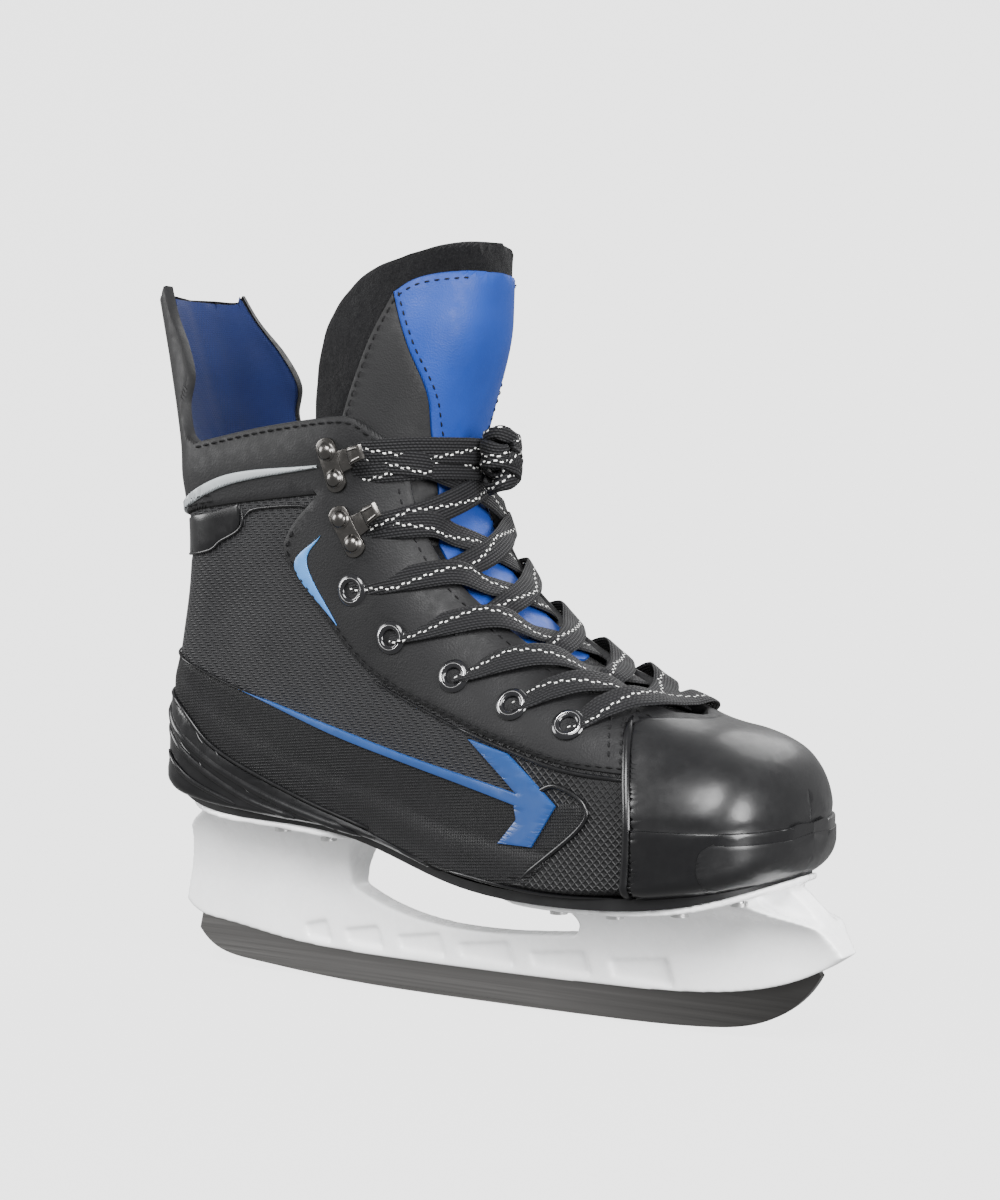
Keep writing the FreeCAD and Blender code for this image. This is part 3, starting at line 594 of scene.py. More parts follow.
def lace_cloth():
    """Flat black braid with a paired white tracer that wanders across it, and painted shade in the
    braid's hollows.
    """
    paint = Paint("lace_braid", (0.02, 0.02, 0.021), Sheen_Weight=0.03, Sheen_Roughness=0.4,
                  Specular_IOR_Level=0.16)
    u, v = paint.uv()
    pitch, width = 0.00115, 0.0085
    rows = paint.math("DIVIDE", v, pitch)
    half = paint.times(paint.math("FLOORED_MODULO", paint.math("FLOOR", rows), 2.0), 0.5)
    run = paint.plus(paint.math("DIVIDE", u, 0.0016), half)
    rib = paint.ridges(paint.times(rows, math.pi))
    knot = paint.ridges(paint.times(run, math.pi))
    height = paint.times(rib, paint.plus(paint.times(knot, 0.6), 0.4))
    drift = paint.math("PINGPONG", paint.times(u, 0.2), width * 0.72)
    off = paint.math("ABSOLUTE", paint.minus(v, paint.minus(drift, width * 0.36)))
    side = paint.math("GREATER_THAN", paint.minus(v, paint.minus(drift, width * 0.36)), 0.0)
    dash = paint.math("FLOORED_MODULO", paint.plus(paint.math(
        "DIVIDE", u, 0.0042), paint.times(side, 0.5)), 1.0)
    tracer = paint.times(paint.math("LESS_THAN", off, 0.0006),
                        paint.math("LESS_THAN", dash, 0.27))
    # Painted shade: the braid's hollows are coloured darker than its raised ribs.
    base = paint.mix(paint.between(height, 0.1, 0.9), (0.002, 0.002, 0.0025), (0.013, 0.013, 0.014))
    paint.colour(paint.mix(tracer, base, (0.72, 0.72, 0.7)))
    paint.rough(paint.between(knot, 0.0, 1.0, 0.78, 0.58))
    paint.bump(height, 0.0004, 0.9)
    return paint.material


def brushed(name, colour, rough, stretch=(6, 260, 900), painted_front_shade=None):
    """Ground or brushed metal with fine lines along X; its optional last argument paints shade that
    darkens the colour along X.
    """
    paint = Paint(name, colour, Metallic=1.0)
    lines = paint.noise(1.0, 5.0, vector=paint.place("Object", stretch), rough=0.7)
    tone = paint.mix(lines, shade(colour, 0.82), shade(colour, 1.15))
    # Painted shade: from the first X to the second, the colour darkens to the given fraction.
    if painted_front_shade:
        x = paint.xyz()[0]
        tone = paint.mix(paint.between(x, painted_front_shade[0], painted_front_shade[1]), tone, shade(colour, painted_front_shade[2]))
    paint.colour(tone)
    paint.rough(paint.between(lines, 0.3, 0.7, rough - 0.07, rough + 0.1))
    paint.bump(lines, 0.00008, 0.35)
    return paint.material


def graded(name, start, end, low, high, rough=0.3):
    """Printed film that changes colour with height."""
    paint = Paint(name, start, Coat_Weight=0.3, Coat_Roughness=0.2)
    z = paint.xyz()[2]
    dust = paint.times(paint.minus(paint.noise(700.0, 4.0), 0.5), 0.25)
    paint.colour(paint.mix(paint.plus(paint.between(z, low, high), dust), start, end))
    paint.rough(paint.between(paint.noise(150.0, 4.0), 0.3, 0.7, rough, rough + 0.15))
    paint.bump(paint.noise(500.0, 2.0), 0.0001, 0.15)
    return paint.material


BLACK_LEATHER = leather("black_leather", (0.0055, 0.0055, 0.006), 0.55)
CHARCOAL_LEATHER = leather("charcoal_leather", (0.0085, 0.0085, 0.009), 0.6, 1500.0)
BLUE_LEATHER = leather("blue_leather", (0.007, 0.034, 0.2), 0.5, 1500.0, 0.0001, 0.01)
TWILL = twill_weave()
GUARD_MESH = square_mesh("square_mesh", 0.0011, (0.002, 0.002, 0.0025), (0.008, 0.008, 0.0085),
                         0.3, 0.1, 0.0003)
VAMP_MESH = square_mesh("diamond_mesh", 0.0021, (0.0015, 0.0015, 0.002), (0.009, 0.009, 0.0095),
                        0.38, math.radians(45), 0.0006)
GLOSS_BLACK = moulded("gloss_black", (0.003, 0.003, 0.0035), 0.3, 0.15, 0.05)
SATIN_BLACK = moulded("satin_black", (0.005, 0.005, 0.0055), 0.36, 0.1, 0.12)
SOLE_BLACK = moulded("sole_black", (0.005, 0.005, 0.0055), 0.42, 0.0, 0.3)
THREAD = leather("thread", (0.003, 0.003, 0.0035), 0.75, 2600.0)
FELT = felt_cloth()
BLUE_LINING = knit_cloth("blue_lining", (0.004, 0.011, 0.06))
FOAM_CLOTH = knit_cloth("footbed_cloth", (0.03, 0.033, 0.045), 0.0016)
BOARD = knit_cloth("fibre_board", (0.3, 0.26, 0.2), 0.002)
BLUE_PRINT = graded("blue_print", (0.006, 0.036, 0.15), (0.009, 0.05, 0.18), 0.06, 0.115)
PALE_PRINT = graded("pale_blue_print", (0.025, 0.12, 0.36), (0.06, 0.22, 0.5), 0.14, 0.176, 0.4)
PIPING = moulded("grey_piping", (0.3, 0.32, 0.33), 0.38, 0.1, 0.2)
HOLDER_WHITE = moulded("holder_white", (0.93, 0.935, 0.94), 0.26, 0.35, 0.12)
# The blade's steel is painted darker toward its front, as painted shade.
BLADE_STEEL = brushed("blade_steel", (0.22, 0.215, 0.21), 0.32, painted_front_shade=(0.03, 0.13, 0.4))
RIVET_STEEL = brushed("rivet_steel", (0.6, 0.6, 0.6), 0.3, (300, 300, 300))
NICKEL = brushed("dark_nickel", (0.11, 0.105, 0.1), 0.24, (250, 250, 250))
BRIGHT_RIM = brushed("bright_rim", (0.8, 0.8, 0.8), 0.18, (300, 300, 300))
ENAMEL = moulded("black_enamel", (0.006, 0.006, 0.007), 0.12, 0.6, 0.04)
LACE = lace_cloth()


# ------------------------------------------------------------------ small parts

class Heap:
    """Gathers many small closed shapes into one mesh."""

    def __init__(self):
        self.verts, self.faces, self.uvs, self.count = [], [], [], 0

    def add(self, verts, faces, uvs=None):
        verts = np.asarray(verts, float)
        self.verts.append(verts)
        self.uvs.append(verts[:, [0, 2]] * MM if uvs is None else np.asarray(uvs, float))
        self.faces += [tuple(i + self.count for i in f) for f in faces]
        self.count += len(verts)

    def mirror(self):
        """Add the medial copy of everything gathered so far."""
        verts, uvs = np.vstack(self.verts), np.vstack(self.uvs)
        old = self.count
        self.verts.append(flip_y(verts))
        self.uvs.append(uvs)
        self.faces += [tuple(i + old for i in reversed(f)) for f in list(self.faces)]
        self.count += old

    def build(self, name, material, body="boot", angle=50.0, slot=None):
        obj = new_object(name, to_frame(np.vstack(self.verts)), self.faces, material,
                         np.vstack(self.uvs), angle)
        if body:
            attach(obj, body)
        return obj


def unit(v):
    v = np.asarray(v, float)
    return v / (np.linalg.norm(v, axis=-1, keepdims=True) + 1e-12)


def grid_faces(rows, cols, wrap=True):
    faces = []
    last = cols if wrap else cols - 1
    for r in range(rows - 1):
        for c in range(last):
            d = (c + 1) % cols
            faces.append((r * cols + c, r * cols + d, (r + 1) * cols + d, (r + 1) * cols + c))
    if wrap:
        faces.append(tuple(reversed(range(cols))))
        faces.append(tuple((rows - 1) * cols + c for c in range(cols)))
    return faces


def sweep(path, up, width, height, profile=10, flat=2.0, u_start=0.0):
    """Closed band along a path; width and height may vary, flat squares its section."""
    path, up = np.asarray(path, float), unit(up)
    along = unit(np.gradient(path, axis=0))
    across = unit(np.cross(along, up))
    rise = np.cross(across, along)
    turn = np.linspace(0, 2 * math.pi, profile, endpoint=False)
    cx = np.sign(np.cos(turn)) * np.abs(np.cos(turn)) ** (2 / flat)
    cy = np.sign(np.sin(turn)) * np.abs(np.sin(turn)) ** (2 / flat)
    w = np.broadcast_to(np.asarray(width, float), len(path)) / 2
    h = np.broadcast_to(np.asarray(height, float), len(path)) / 2
    verts = (path[:, None] + across[:, None] * (cx[None, :, None] * w[:, None, None])
             + rise[:, None] * (cy[None, :, None] * h[:, None, None]))
    run = distances(path)
    u = np.repeat((run + u_start)[:, None], profile, 1)
    v = np.broadcast_to(cx[None] * w[:, None], u.shape)
    uv = np.stack([u.ravel() * MM, v.ravel() * MM], -1)
    faces = [tuple(reversed(f)) for f in grid_faces(len(path), profile)]
    return verts.reshape(-1, 3), faces, uv


def on_boot(path, lift, step=1.5):
    """Points and outward directions along a side-view path laid on the boot."""
    line = evenly(smooth(path), step)
    s, a = locate(line[:, 0], line[:, 1])
    aside = (a > 1e-6) & (a < 1 - 1e-6)
    keep = aside | np.roll(aside, -1) & (a <= 1e-6)
    s, a = s[keep], a[keep]
    return off_skin(s, a, np.full(len(s), 1.0) * lift), outward(s, a)


def bead(heap, path, lift, width, height):
    """Rounded ridge along a path on the boot, tapered at its ends."""
    points, out = on_boot(path, lift)
    ends = np.clip(np.minimum(np.arange(len(points)), np.arange(len(points))[::-1]) / 3.0, 0.15, 1)
    ends = np.sqrt(ends)
    heap.add(*sweep(points, out, width * ends, height * ends, 8))


def shifted(path, distance):
    """A side-view path moved sideways, to the left of its direction."""
    p = evenly(smooth(path), 2.0)
    d = unit(np.gradient(p, axis=0))
    return p + np.stack([-d[:, 1], d[:, 0]], -1) * distance


def threads(heap, points, out, length, gap, thick, crest):
    """Short threads along a line of points, each dipping into the surface at its ends."""
    run = distances(points)
    start = 0.6
    dips = np.array([-0.45, 0.1, crest, 0.1, -0.45])
    while start + length < run[-1]:
        places = start + np.linspace(0, 1, 5) * length
        mid = np.stack([np.interp(places, run, points[:, k]) for k in range(3)], -1)
        up = unit(np.stack([np.interp(places, run, out[:, k]) for k in range(3)], -1))
        widths = thick * np.array([0.45, 0.95, 1.0, 0.95, 0.45])
        heap.add(*sweep(mid + up * dips[:, None], up, widths, widths * 0.85, 6))
        start += length + gap


def stitch_row(heap, path, lift, length=2.7, gap=1.3, thick=0.75):
    """Row of threads along a side-view path on the boot."""
    points, out = on_boot(path, lift, 0.45)
    threads(heap, points, out, length, gap, thick, 0.32)


def turned(heap, centre, axis, profile, sides=28):
    """Turned shape from radius and height pairs about an axis; closed when it starts and
    ends on the axis, or when the profile is a ring."""
    axis = unit(axis)
    side = unit(np.cross(axis, [0.3, 0.2, 1.0]))
    other = np.cross(axis, side)
    turn = np.linspace(0, 2 * math.pi, sides, endpoint=False)
    verts, rows = [], []
    for radius, height in profile:
        rows.append(len(verts))
        if radius < 1e-6:
            verts.append(centre + axis * height)
        else:
            for t in turn:
                verts.append(centre + axis * height
                             + (side * math.cos(t) + other * math.sin(t)) * radius)
    faces = []
    ring = profile[0][0] > 1e-6
    count = len(profile)
    for r in range(count if ring else count - 1):
        n = (r + 1) % count
        a_tip, b_tip = profile[r][0] < 1e-6, profile[n][0] < 1e-6
        for c in range(sides):
            d = (c + 1) % sides
            if a_tip and not b_tip:
                faces.append((rows[r], rows[n] + c, rows[n] + d))
            elif b_tip and not a_tip:
                faces.append((rows[r] + c, rows[n], rows[r] + d))
            elif not a_tip:
                faces.append((rows[r] + c, rows[n] + c, rows[n] + d, rows[r] + d))
    heap.add(np.array(verts), faces)


def plate(heap, outline, thick, frame_at, bevel=0.35, bottom=0.0):
    """Bevelled flat plate; frame_at is centre, across, up, out."""
    centre, across, up, out = frame_at
    o = np.asarray(outline, float)
    d = unit(np.roll(o, -1, 0) - np.roll(o, 1, 0))
    inward = np.stack([-d[:, 1], d[:, 0]], -1)
    rows = [(0.0, bottom), (0.0, bottom + thick - bevel), (bevel * 0.3, bottom + thick - bevel * 0.3),
            (bevel, bottom + thick)]
    verts = []
    for inset, height in rows:
        p = o + inward * inset
        verts.append(centre + across * p[:, :1] + up * p[:, 1:] + out * height)
    heap.add(np.vstack(verts), grid_faces(len(rows), len(o)))


# ------------------------------------------------------------------ outlines of the upper

FACING_CORNER = (97, 190)
QUARTER_CORNER = (184, 83)
VAMP_CORNER = (160, 108)
TOE_CORNER = (230, 94)
COLLAR_LOW = [(BACK, 176), (10, 180), (50, 186), FACING_CORNER]
FACING_EDGE = [FACING_CORNER, (84, 178), (81, 167), (96, 148), (120, 124), VAMP_CORNER,
               (180, 102), (205, 96), TOE_CORNER]
CUFF_TOP = [(38, 211), (70, 216), (103, 219), (114, 218), (121, 213), (128, 207)]
GUARD_EDGE = [(8, 274), (14, 263), (24, 250), (30, 237), (27.5, 225), (31, 215), CUFF_TOP[0]]
GUARD_TOP = [(BACK, 269.5), (2, 270), GUARD_EDGE[0]]
QUARTER_LOW = [(BACK, 145), (10, 132), (50, 117), (100, 103), (140, 93), QUARTER_CORNER]
COUNTER_EDGE = [(BACK, 118), (15, 112), (40, 92), (80, 76), (116, 66)]
TOE_SEAM = [(224, 113), TOE_CORNER, (233, 75), (231, 46)]
EYELETS = [(112, 155), (129, 138), (156, 125), (181, 116), (204, 110)]
HOOKS = [((103, 206), (106, 196)), ((108, 181), (113, 172))]
THROAT = np.array([(106, 0), (112, 24), (125, 29), (140, 26), (160, 22), (185, 20),
                   (215, 17.5), (232, 11), (238, 0)], float)


def gap_half(x):
    """Half width of the opening between the facings at x."""
    return np.interp(x, THROAT[:, 0], THROAT[:, 1])


def across_front(s, y):
    """Place on the front half of section s where the half width is |y|."""
    low, high = np.full(len(s), 0.5), np.ones(len(s))
    for _ in range(34):
        middle = (low + high) / 2
        wide = -skin(s, middle)[:, 1] > np.abs(y)
        low, high = np.where(wide, middle, low), np.where(wide, high, middle)
    return low


def throat_line(s_start, s_end, extra=0.0, count=90):
    """Side-view points of the facing's front edge, upper end first."""
    s = np.linspace(s_start, s_end, count)
    a = np.full(count, 0.9)
    for _ in range(12):
        a = across_front(s, gap_half(skin(s, a)[:, 0]) + extra)
    p = skin(s, a)
    return p[:, [0, 2]]


EDGE_LINE = throat_line(3.75, 14.45)
SOLE_LINE = [(BACK, 82), (8, 75), (26, 70), (60, 66.5), (105, 62.5), (150, 51), (195, 47.6),
             (228, 49), (252, 52.5), (266, 56.5), (FRONT, 70)]

# ------------------------------------------------------------------ upper

trim_outline = np.vstack([
    loop(COLLAR_LOW, FACING_EDGE, [TOE_CORNER, (228, 103), (224.5, 112.5)]),
    EDGE_LINE[::-1], loop([tuple(EDGE_LINE[0]), (128, 208)], CUFF_TOP[::-1], GUARD_EDGE[::-1],
                          GUARD_TOP[::-1], [(BACK, 269.5), (BACK, 176)])])


def collar_puff(p, s, a):
    """Padding under the leather, fullest between the piping and the cuff's edge."""
    z, x = p[:, 2], p[:, 0]
    band = np.exp(-((z - 206 + 0.12 * (90 - x)) / 8.0) ** 2) * np.clip((118 - x) / 30, 0, 1)
    ankle = np.exp(-((x - 112) / 22) ** 2 - ((z - 165) / 26) ** 2)
    dents = 0.0
    for cx, cz in EYELETS:
        dents = dents - 0.5 * np.exp(-((x - cx) ** 2 + (z - cz) ** 2) / 60.0)
    return 0.9 * band + 0.5 * ankle + dents


(upper_trim,) = panel("upper_trim", trim_outline, BLACK_LEATHER, 0.25, 3.0, 1.5, sides="whole",
                      shape=collar_puff, body=None)
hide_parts("collar_lateral", "collar_medial", "facing_lateral", "facing_medial",
            "tendon_guard")
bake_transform(upper_trim)

quarter_outline = loop(
    [(BACK, 184), (37, 190), (97, 194)], [(97, 194), (112, 176)],
    [(112, 176), (96, 166), (110, 142), (134, 124), (160, 115), (186, 106)],
    [(186, 106), (184, 81)], [(x, z - 1.5) for x, z in QUARTER_LOW[::-1]], [(BACK, 143), (BACK, 184)])


def heel_patch(p, s, a):
    """Groove at the lower edge of the heel tab, and a hollow below the ankle."""
    x, z = p[:, 0], p[:, 2]
    return -0.5 * np.exp(-((z - 168.0) / 2.5) ** 2) * (x < 36) - 1.0 * np.exp(
        -((x - 45) / 16) ** 2 - ((z - 145) / 18) ** 2)


quarters = panel("quarter", quarter_outline, TWILL, -0.9, 2.2, 0.8, shape=heel_patch,
                 sides="whole")
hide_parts("quarter_lateral", "quarter_medial")

guard_outline = loop(
    QUARTER_LOW, [QUARTER_CORNER, (197, 80), (206, 84)], [(206, 84), (216, 79), (190, 54), (186, 44)],
    [(186, 44), (150, 44), (116, 58)], [(116, 58), (116, 66)],
    [(x, z - 2) for x, z in COUNTER_EDGE[::-1]], [(BACK, 116), (BACK, 145)])


def guard_relief(p, s, a):
    """Shallow swelling along the moulded side and its arch line."""
    x, z = p[:, 0], p[:, 2]
    line = np.interp(x, [15, 40, 80, 116, 150, 200], [112, 92, 76, 66, 56, 50])
    return 0.5 * np.exp(-((z - line - 9) / 5.0) ** 2) - 0.35 * np.exp(-((z - line - 15) / 1.2) ** 2)


guards = panel("side_guard", guard_outline, GUARD_MESH, -0.55, 2.4, 0.8, shape=guard_relief,
               sides="whole")
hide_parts("side_guard_lateral", "side_guard_medial")

counter_outline = loop(
    COUNTER_EDGE, [COUNTER_EDGE[-1], (140, 58), (152, 50)], [(152, 50), (120, 44)],
    [(120, 44), (60, 44)], [(60, 44), (BACK, 60)], [(BACK, 60), (BACK, 118)])


def counter_ridges(p, s, a):
    """Angled facets of the moulded heel."""
    x, z = p[:, 0], p[:, 2]
    facet = np.clip(np.sin((x * 0.62 + z * 0.9) / 5.2) * 2.2, -1, 1)
    return 0.45 * facet * np.exp(-((z - 86) / 11.0) ** 2) * (x < 60) * (x > 10)


(counter,) = panel("heel_counter_shell", counter_outline, GLOSS_BLACK, 0.35, 3.2, 1.0, 2.0,
                   "whole", counter_ridges)
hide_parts("heel_counter")
HEEL_LINES = [[(11, 109), (20, 99), (40, 86), (70, 74), (112, 64)],
              [(13, 100), (30, 86), (55, 74), (80, 68)],
              [(14, 90), (28, 79), (50, 71)]]
ridges = Heap()
for depth, line in enumerate(HEEL_LINES):
    bead(ridges, line, 0.35, 3.4 - 0.7 * depth, 2.0 - 0.3 * depth)
for x, z in ((31, 96), (41, 89), (22, 93), (52, 79), (33, 83)):
    bead(ridges, [(x, z + 3.2), (x + 2.6, z - 1), (x + 6, z - 3.6)], 0.25, 1.3, 1.3)
ridges.mirror()
ridges.build("heel_ridges", GLOSS_BLACK, slot="moulded_black")

vamp_outline = loop(
    [(158, 116), (182, 106), (204, 101), (234, 99)], [(234, 99), (236, 76)],
    [(236, 76), (235, 44)], [(235, 44), (184, 44)], [(184, 44), (184, 83)], [(184, 83), (158, 116)])


vamps = panel("vamp", vamp_outline, VAMP_MESH, -0.75, 2.2, 0.8)
for piece, side in zip(vamps, ("lateral", "medial")):
    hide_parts("vamp_" + side)

toe_outline = loop(
    TOE_SEAM, [(231.5, 46), (FRONT, 40)], [(FRONT, 40), (FRONT, 100)], [(FRONT, 100), (262, 130)],
    [(262, 130), (247, 130)], [(247, 130), (246, 111)], [(246, 111), (236, 112), TOE_SEAM[0]])


def toe_relief(p, s, a):
    """Crease round the toe, just above the bumper."""
    x, z = p[:, 0], p[:, 2]
    return -0.5 * np.exp(-((z - 77.5) / 2.2) ** 2)


(toe_cap,) = panel("toe_cap_shell", toe_outline, SATIN_BLACK, 0.45, 2.8, 1.0, 2.0, "whole",
                   toe_relief)
bumper_outline = loop(
    [(233.6, 76.6), (255, 76.8), (FRONT, 77.2)], [(FRONT, 77.2), (FRONT, 40)], [(FRONT, 40), (232.8, 44)],
    [(232.8, 44), (234, 63), (233.6, 76.6)], step=1.2)
panel("toe_bumper", bumper_outline, GLOSS_BLACK, 1.1, 2.6, 0.6, 1.8, "whole")
patch_line = loop(
    [(262, 73.6), (266, 73.0), (FRONT, 73.4)], [(FRONT, 73.4), (FRONT, 59.5)],
    [(FRONT, 59.5), (268, 59.4), (259, 57.6)], [(259, 57.6), (256.6, 64), (258, 70.5), (262, 73.6)],
    step=1.2)
panel("toe_bumper_patch", patch_line, SATIN_BLACK, 1.55, 1.6, 0.35, 1.8, "whole")
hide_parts("toe_cap")

# ------------------------------------------------------------------ prints, piping, seams

piping_outline = loop(
    [(BACK, 182), (20, 186), (55, 198), (98, 201)], [(98, 201), (98, 200)],
    [(98, 200), (55, 194), (20, 182), (BACK, 178)], [(BACK, 178), (BACK, 182)])
(piping,) = panel("piping_stripe", piping_outline, PIPING, 1.5, 2.4, 0.8, 1.6, "whole",
                  shape=lambda p, s, a: collar_puff(p, s, a) * 0.8)
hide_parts("piping_lateral", "piping_medial")

stripe_outline = loop(
    [(54, 116), (100, 104), (140, 94), (185, 85)], [(185, 85), (164, 103)],
    [(164, 103), (181, 99)], [(181, 99), (202, 82)], [(202, 82), (192, 67)],
    [(192, 67), (177, 67)], [(177, 67), (185, 76)], [(185, 76), (184, 81)],
    [(184, 81), (140, 91), (100, 101), (54, 116)], step=1.2)
stripes = panel("stripe_print", stripe_outline, BLUE_PRINT, 0.35, 1.2, 0.25, 1.2)
crescent_outline = loop(
    [(99, 175), (86, 163), (105, 142)], [(105, 142), (92, 164), (99, 175)], step=1.0)
crescents = panel("crescent_print", crescent_outline, PALE_PRINT, 0.95, 0.9, 0.3, 1.6)
for number, side in enumerate(("lateral", "medial")):
    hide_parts("stripe_" + side)
    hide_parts("crescent_" + side)

stitches = Heap()
stitch_row(stitches, shifted(FACING_EDGE[1:], 1.9), 0.62)
stitch_row(stitches, shifted(COLLAR_LOW[:-1], 2.6), 0.95)
stitch_row(stitches, shifted(COLLAR_LOW[1:-1], 5.0), 1.15, 2.2, 1.5, 0.6)
stitch_row(stitches, shifted(CUFF_TOP, -2.4), 0.9)
for back in (3, 7):
    stitch_row(stitches, [(224 - back, 113), (227 - back, 104), (229 - back, 97)], 0.5, 2.4, 1.2)
stitch_row(stitches, EDGE_LINE[4:-16] + np.array([-3.4, -1.6]), 0.5, 2.4, 1.4, 0.6)
stitches.mirror()
stitches.build("upper_stitches", THREAD, slot="synthetic_leather")

seams = Heap()
bead(seams, [(BACK, 168), (35, 168), (50, 173), (60, 178), (61, 185)], -0.5, 1.1, 1.0)
bead(seams, [(62, 182), (68, 185), (90, 186), (96, 183)], -0.5, 1.2, 1.2)
bead(seams, shifted(FACING_EDGE[5:], -1.5), -0.4, 1.5, 1.3)
bead(seams, [(120, 122), (134, 116), (160, 106)], -0.5, 1.0, 1.0)
bead(seams, [(x - 1.3, z) for x, z in TOE_SEAM], 0.1, 3.0, 2.0)
bead(seams, [(x, z + 0.3) for x, z in QUARTER_LOW], -0.3, 0.9, 1.0)
bead(seams, [(x, z + 0.8) for x, z in COUNTER_EDGE], 0.1, 1.6, 1.5)
bead(seams, [(189, 83), (202, 89), (215, 79), (188, 56)], -0.5, 1.8, 1.6)
bead(seams, [(156, 55), (195, 51), (230, 52)], 0.0, 1.4, 1.2)
seams.mirror()
seams.build("seam_beads", GLOSS_BLACK, slot="moulded_black")

patch_outline = loop(
    [(BACK, 181), (30, 182), (60, 187)], [(60, 187), (59, 178), (50, 173)],
    [(50, 173), (35, 168), (BACK, 168)], [(BACK, 168), (BACK, 181)])
panel("heel_tab", patch_outline, GLOSS_BLACK, -0.35, 1.8, 0.7, 2.2, "whole")

welt = Heap()
bead(welt, [(x, z + 1.0) for x, z in SOLE_LINE[1:-1]], 0.3, 1.5, 1.3)
welt.mirror()
welt.build("welt", SOLE_BLACK, slot="outsole_plastic")

# ------------------------------------------------------------------ lining and footbed

lining_outline = np.vstack([
    loop([(BACK, 269), (1.5, 269.2), (6.2, 273.5)],
         [(6.2, 273.5)] + [(x - 1.4, z - 0.4) for x, z in GUARD_EDGE[1:-1]] + [(37.5, 210.4)],
         [(37.5, 210.4)] + [(x, z - 0.8) for x, z in CUFF_TOP[1:]]),
    EDGE_LINE + np.array([-0.8, -0.5]),
    loop([(224.5, 112), (232, 98)], [(232, 98), (234, 58)],
         [(234, 58), (195, 54), (150, 57.5), (105, 69), (60, 73), (26, 77), (12, 84)],
         [(12, 84), (BACK, 90)], [(BACK, 90), (BACK, 269)])])


def lining_pad(p, s, a):
    """Foam rolls behind the ankle and a sewn crease down the middle of the back."""
    x, y, z = p.T
    crease = -1.3 * np.exp(-(y / 1.1) ** 2) * (x < 60)
    pad = 2.6 * np.exp(-((x - 70) / 26) ** 2 - ((z - 148) / 26) ** 2)
    roll = 1.2 * np.exp(-((z - 207) / 8.0) ** 2) * np.clip((118 - x) / 30, 0, 1)
    ripple = 0.35 * np.sin(x * 0.16 + z * 0.11) * np.sin(z * 0.21 - x * 0.05)
    return crease + pad + roll + ripple


(lining,) = panel("boot_lining", lining_outline, BLUE_LINING, -2.7, 1.7, 1.0, 3.0, "whole",
                  lining_pad, body=None, inner=True)
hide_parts("lining_lateral", "lining_medial", "tendon_guard_lining",
            "ankle_pad_lateral", "ankle_pad_medial")
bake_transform(lining)


def footbed_piece():
    """Soft insole that follows the sole, with a raised rim."""
    rows, cols = 90, 31
    xs = np.linspace(16, 256, rows)
    edge = np.interp(xs, [16, 24, 40, 70, 105, 150, 195, 228, 246, 256],
                     [10, 20, 25, 26.5, 28, 32, 36.5, 37.5, 30, 17])
    sole = np.array(SOLE_LINE)
    base = np.interp(xs, sole[:, 0], sole[:, 1]) + 6.2
    across = np.linspace(-1, 1, cols)
    x = np.repeat(xs[:, None], cols, 1)
    y = edge[:, None] * np.sin(across * math.pi / 2)[None]
    rim = np.abs(across) ** 6
    z = base[:, None] + 2.6 + 1.8 * rim[None] * (x < 150) - 0.8 * (rim[None] > 0.9)
    top = np.stack([x, y, z], -1).reshape(-1, 3)
    low = np.stack([x, y * 0.98, np.repeat(base[:, None], cols, 1)], -1).reshape(-1, 3)
    n = len(top)
    faces = grid_faces(rows, cols, False)
    faces += [tuple(i + n for i in reversed(f)) for f in faces]
    edge_loop = (list(range(cols)) + [r * cols + cols - 1 for r in range(1, rows)]
                 + [(rows - 1) * cols + c for c in range(cols - 2, -1, -1)]
                 + [r * cols for r in range(rows - 2, 0, -1)])
    for i, j in zip(edge_loop, edge_loop[1:] + edge_loop[:1]):
        faces.append((j, i, i + n, j + n))
    points = np.vstack([top, low])
    obj = new_object("insole_pad", to_frame(points), faces, FOAM_CLOTH, points[:, :2] * MM)
    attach(obj, "boot")
    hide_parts("footbed")
    return obj


insole_pad = footbed_piece()

# ------------------------------------------------------------------ tongue

TONGUE_BACK = [(91, 196), (91, 230), (96, 256), (109, 272), (128, 279)]
TONGUE_TOP = [TONGUE_BACK[-1], (145, 283), (165, 284)]
BLUE_CORNER = (124, 264)
SIDE_BACK = [(100, 190), (106, 220), (114, 242), BLUE_CORNER]
BLUE_EDGE = [BLUE_CORNER, (130, 245), (137, 225), (137, 200), (141, 173)]
BLUE_TOP = [BLUE_CORNER, (132, 269), (146, 272), (165, 272.5)]


def tongue_sink(p, s, a):
    """The tongue dips inside the lining below the collar's line and flares above it."""
    t = np.clip((256 - p[:, 2]) / 44, 0, 1)
    return -6.2 * t * t * (3 - 2 * t)


def felt_relief(p, s, a):
    """Uneven thickness of the needled felt."""
    x, y, z = p.T
    return tongue_sink(p, s, a) + 0.25 * np.sin(x * 0.4 + y * 0.3) * np.sin(z * 0.35)


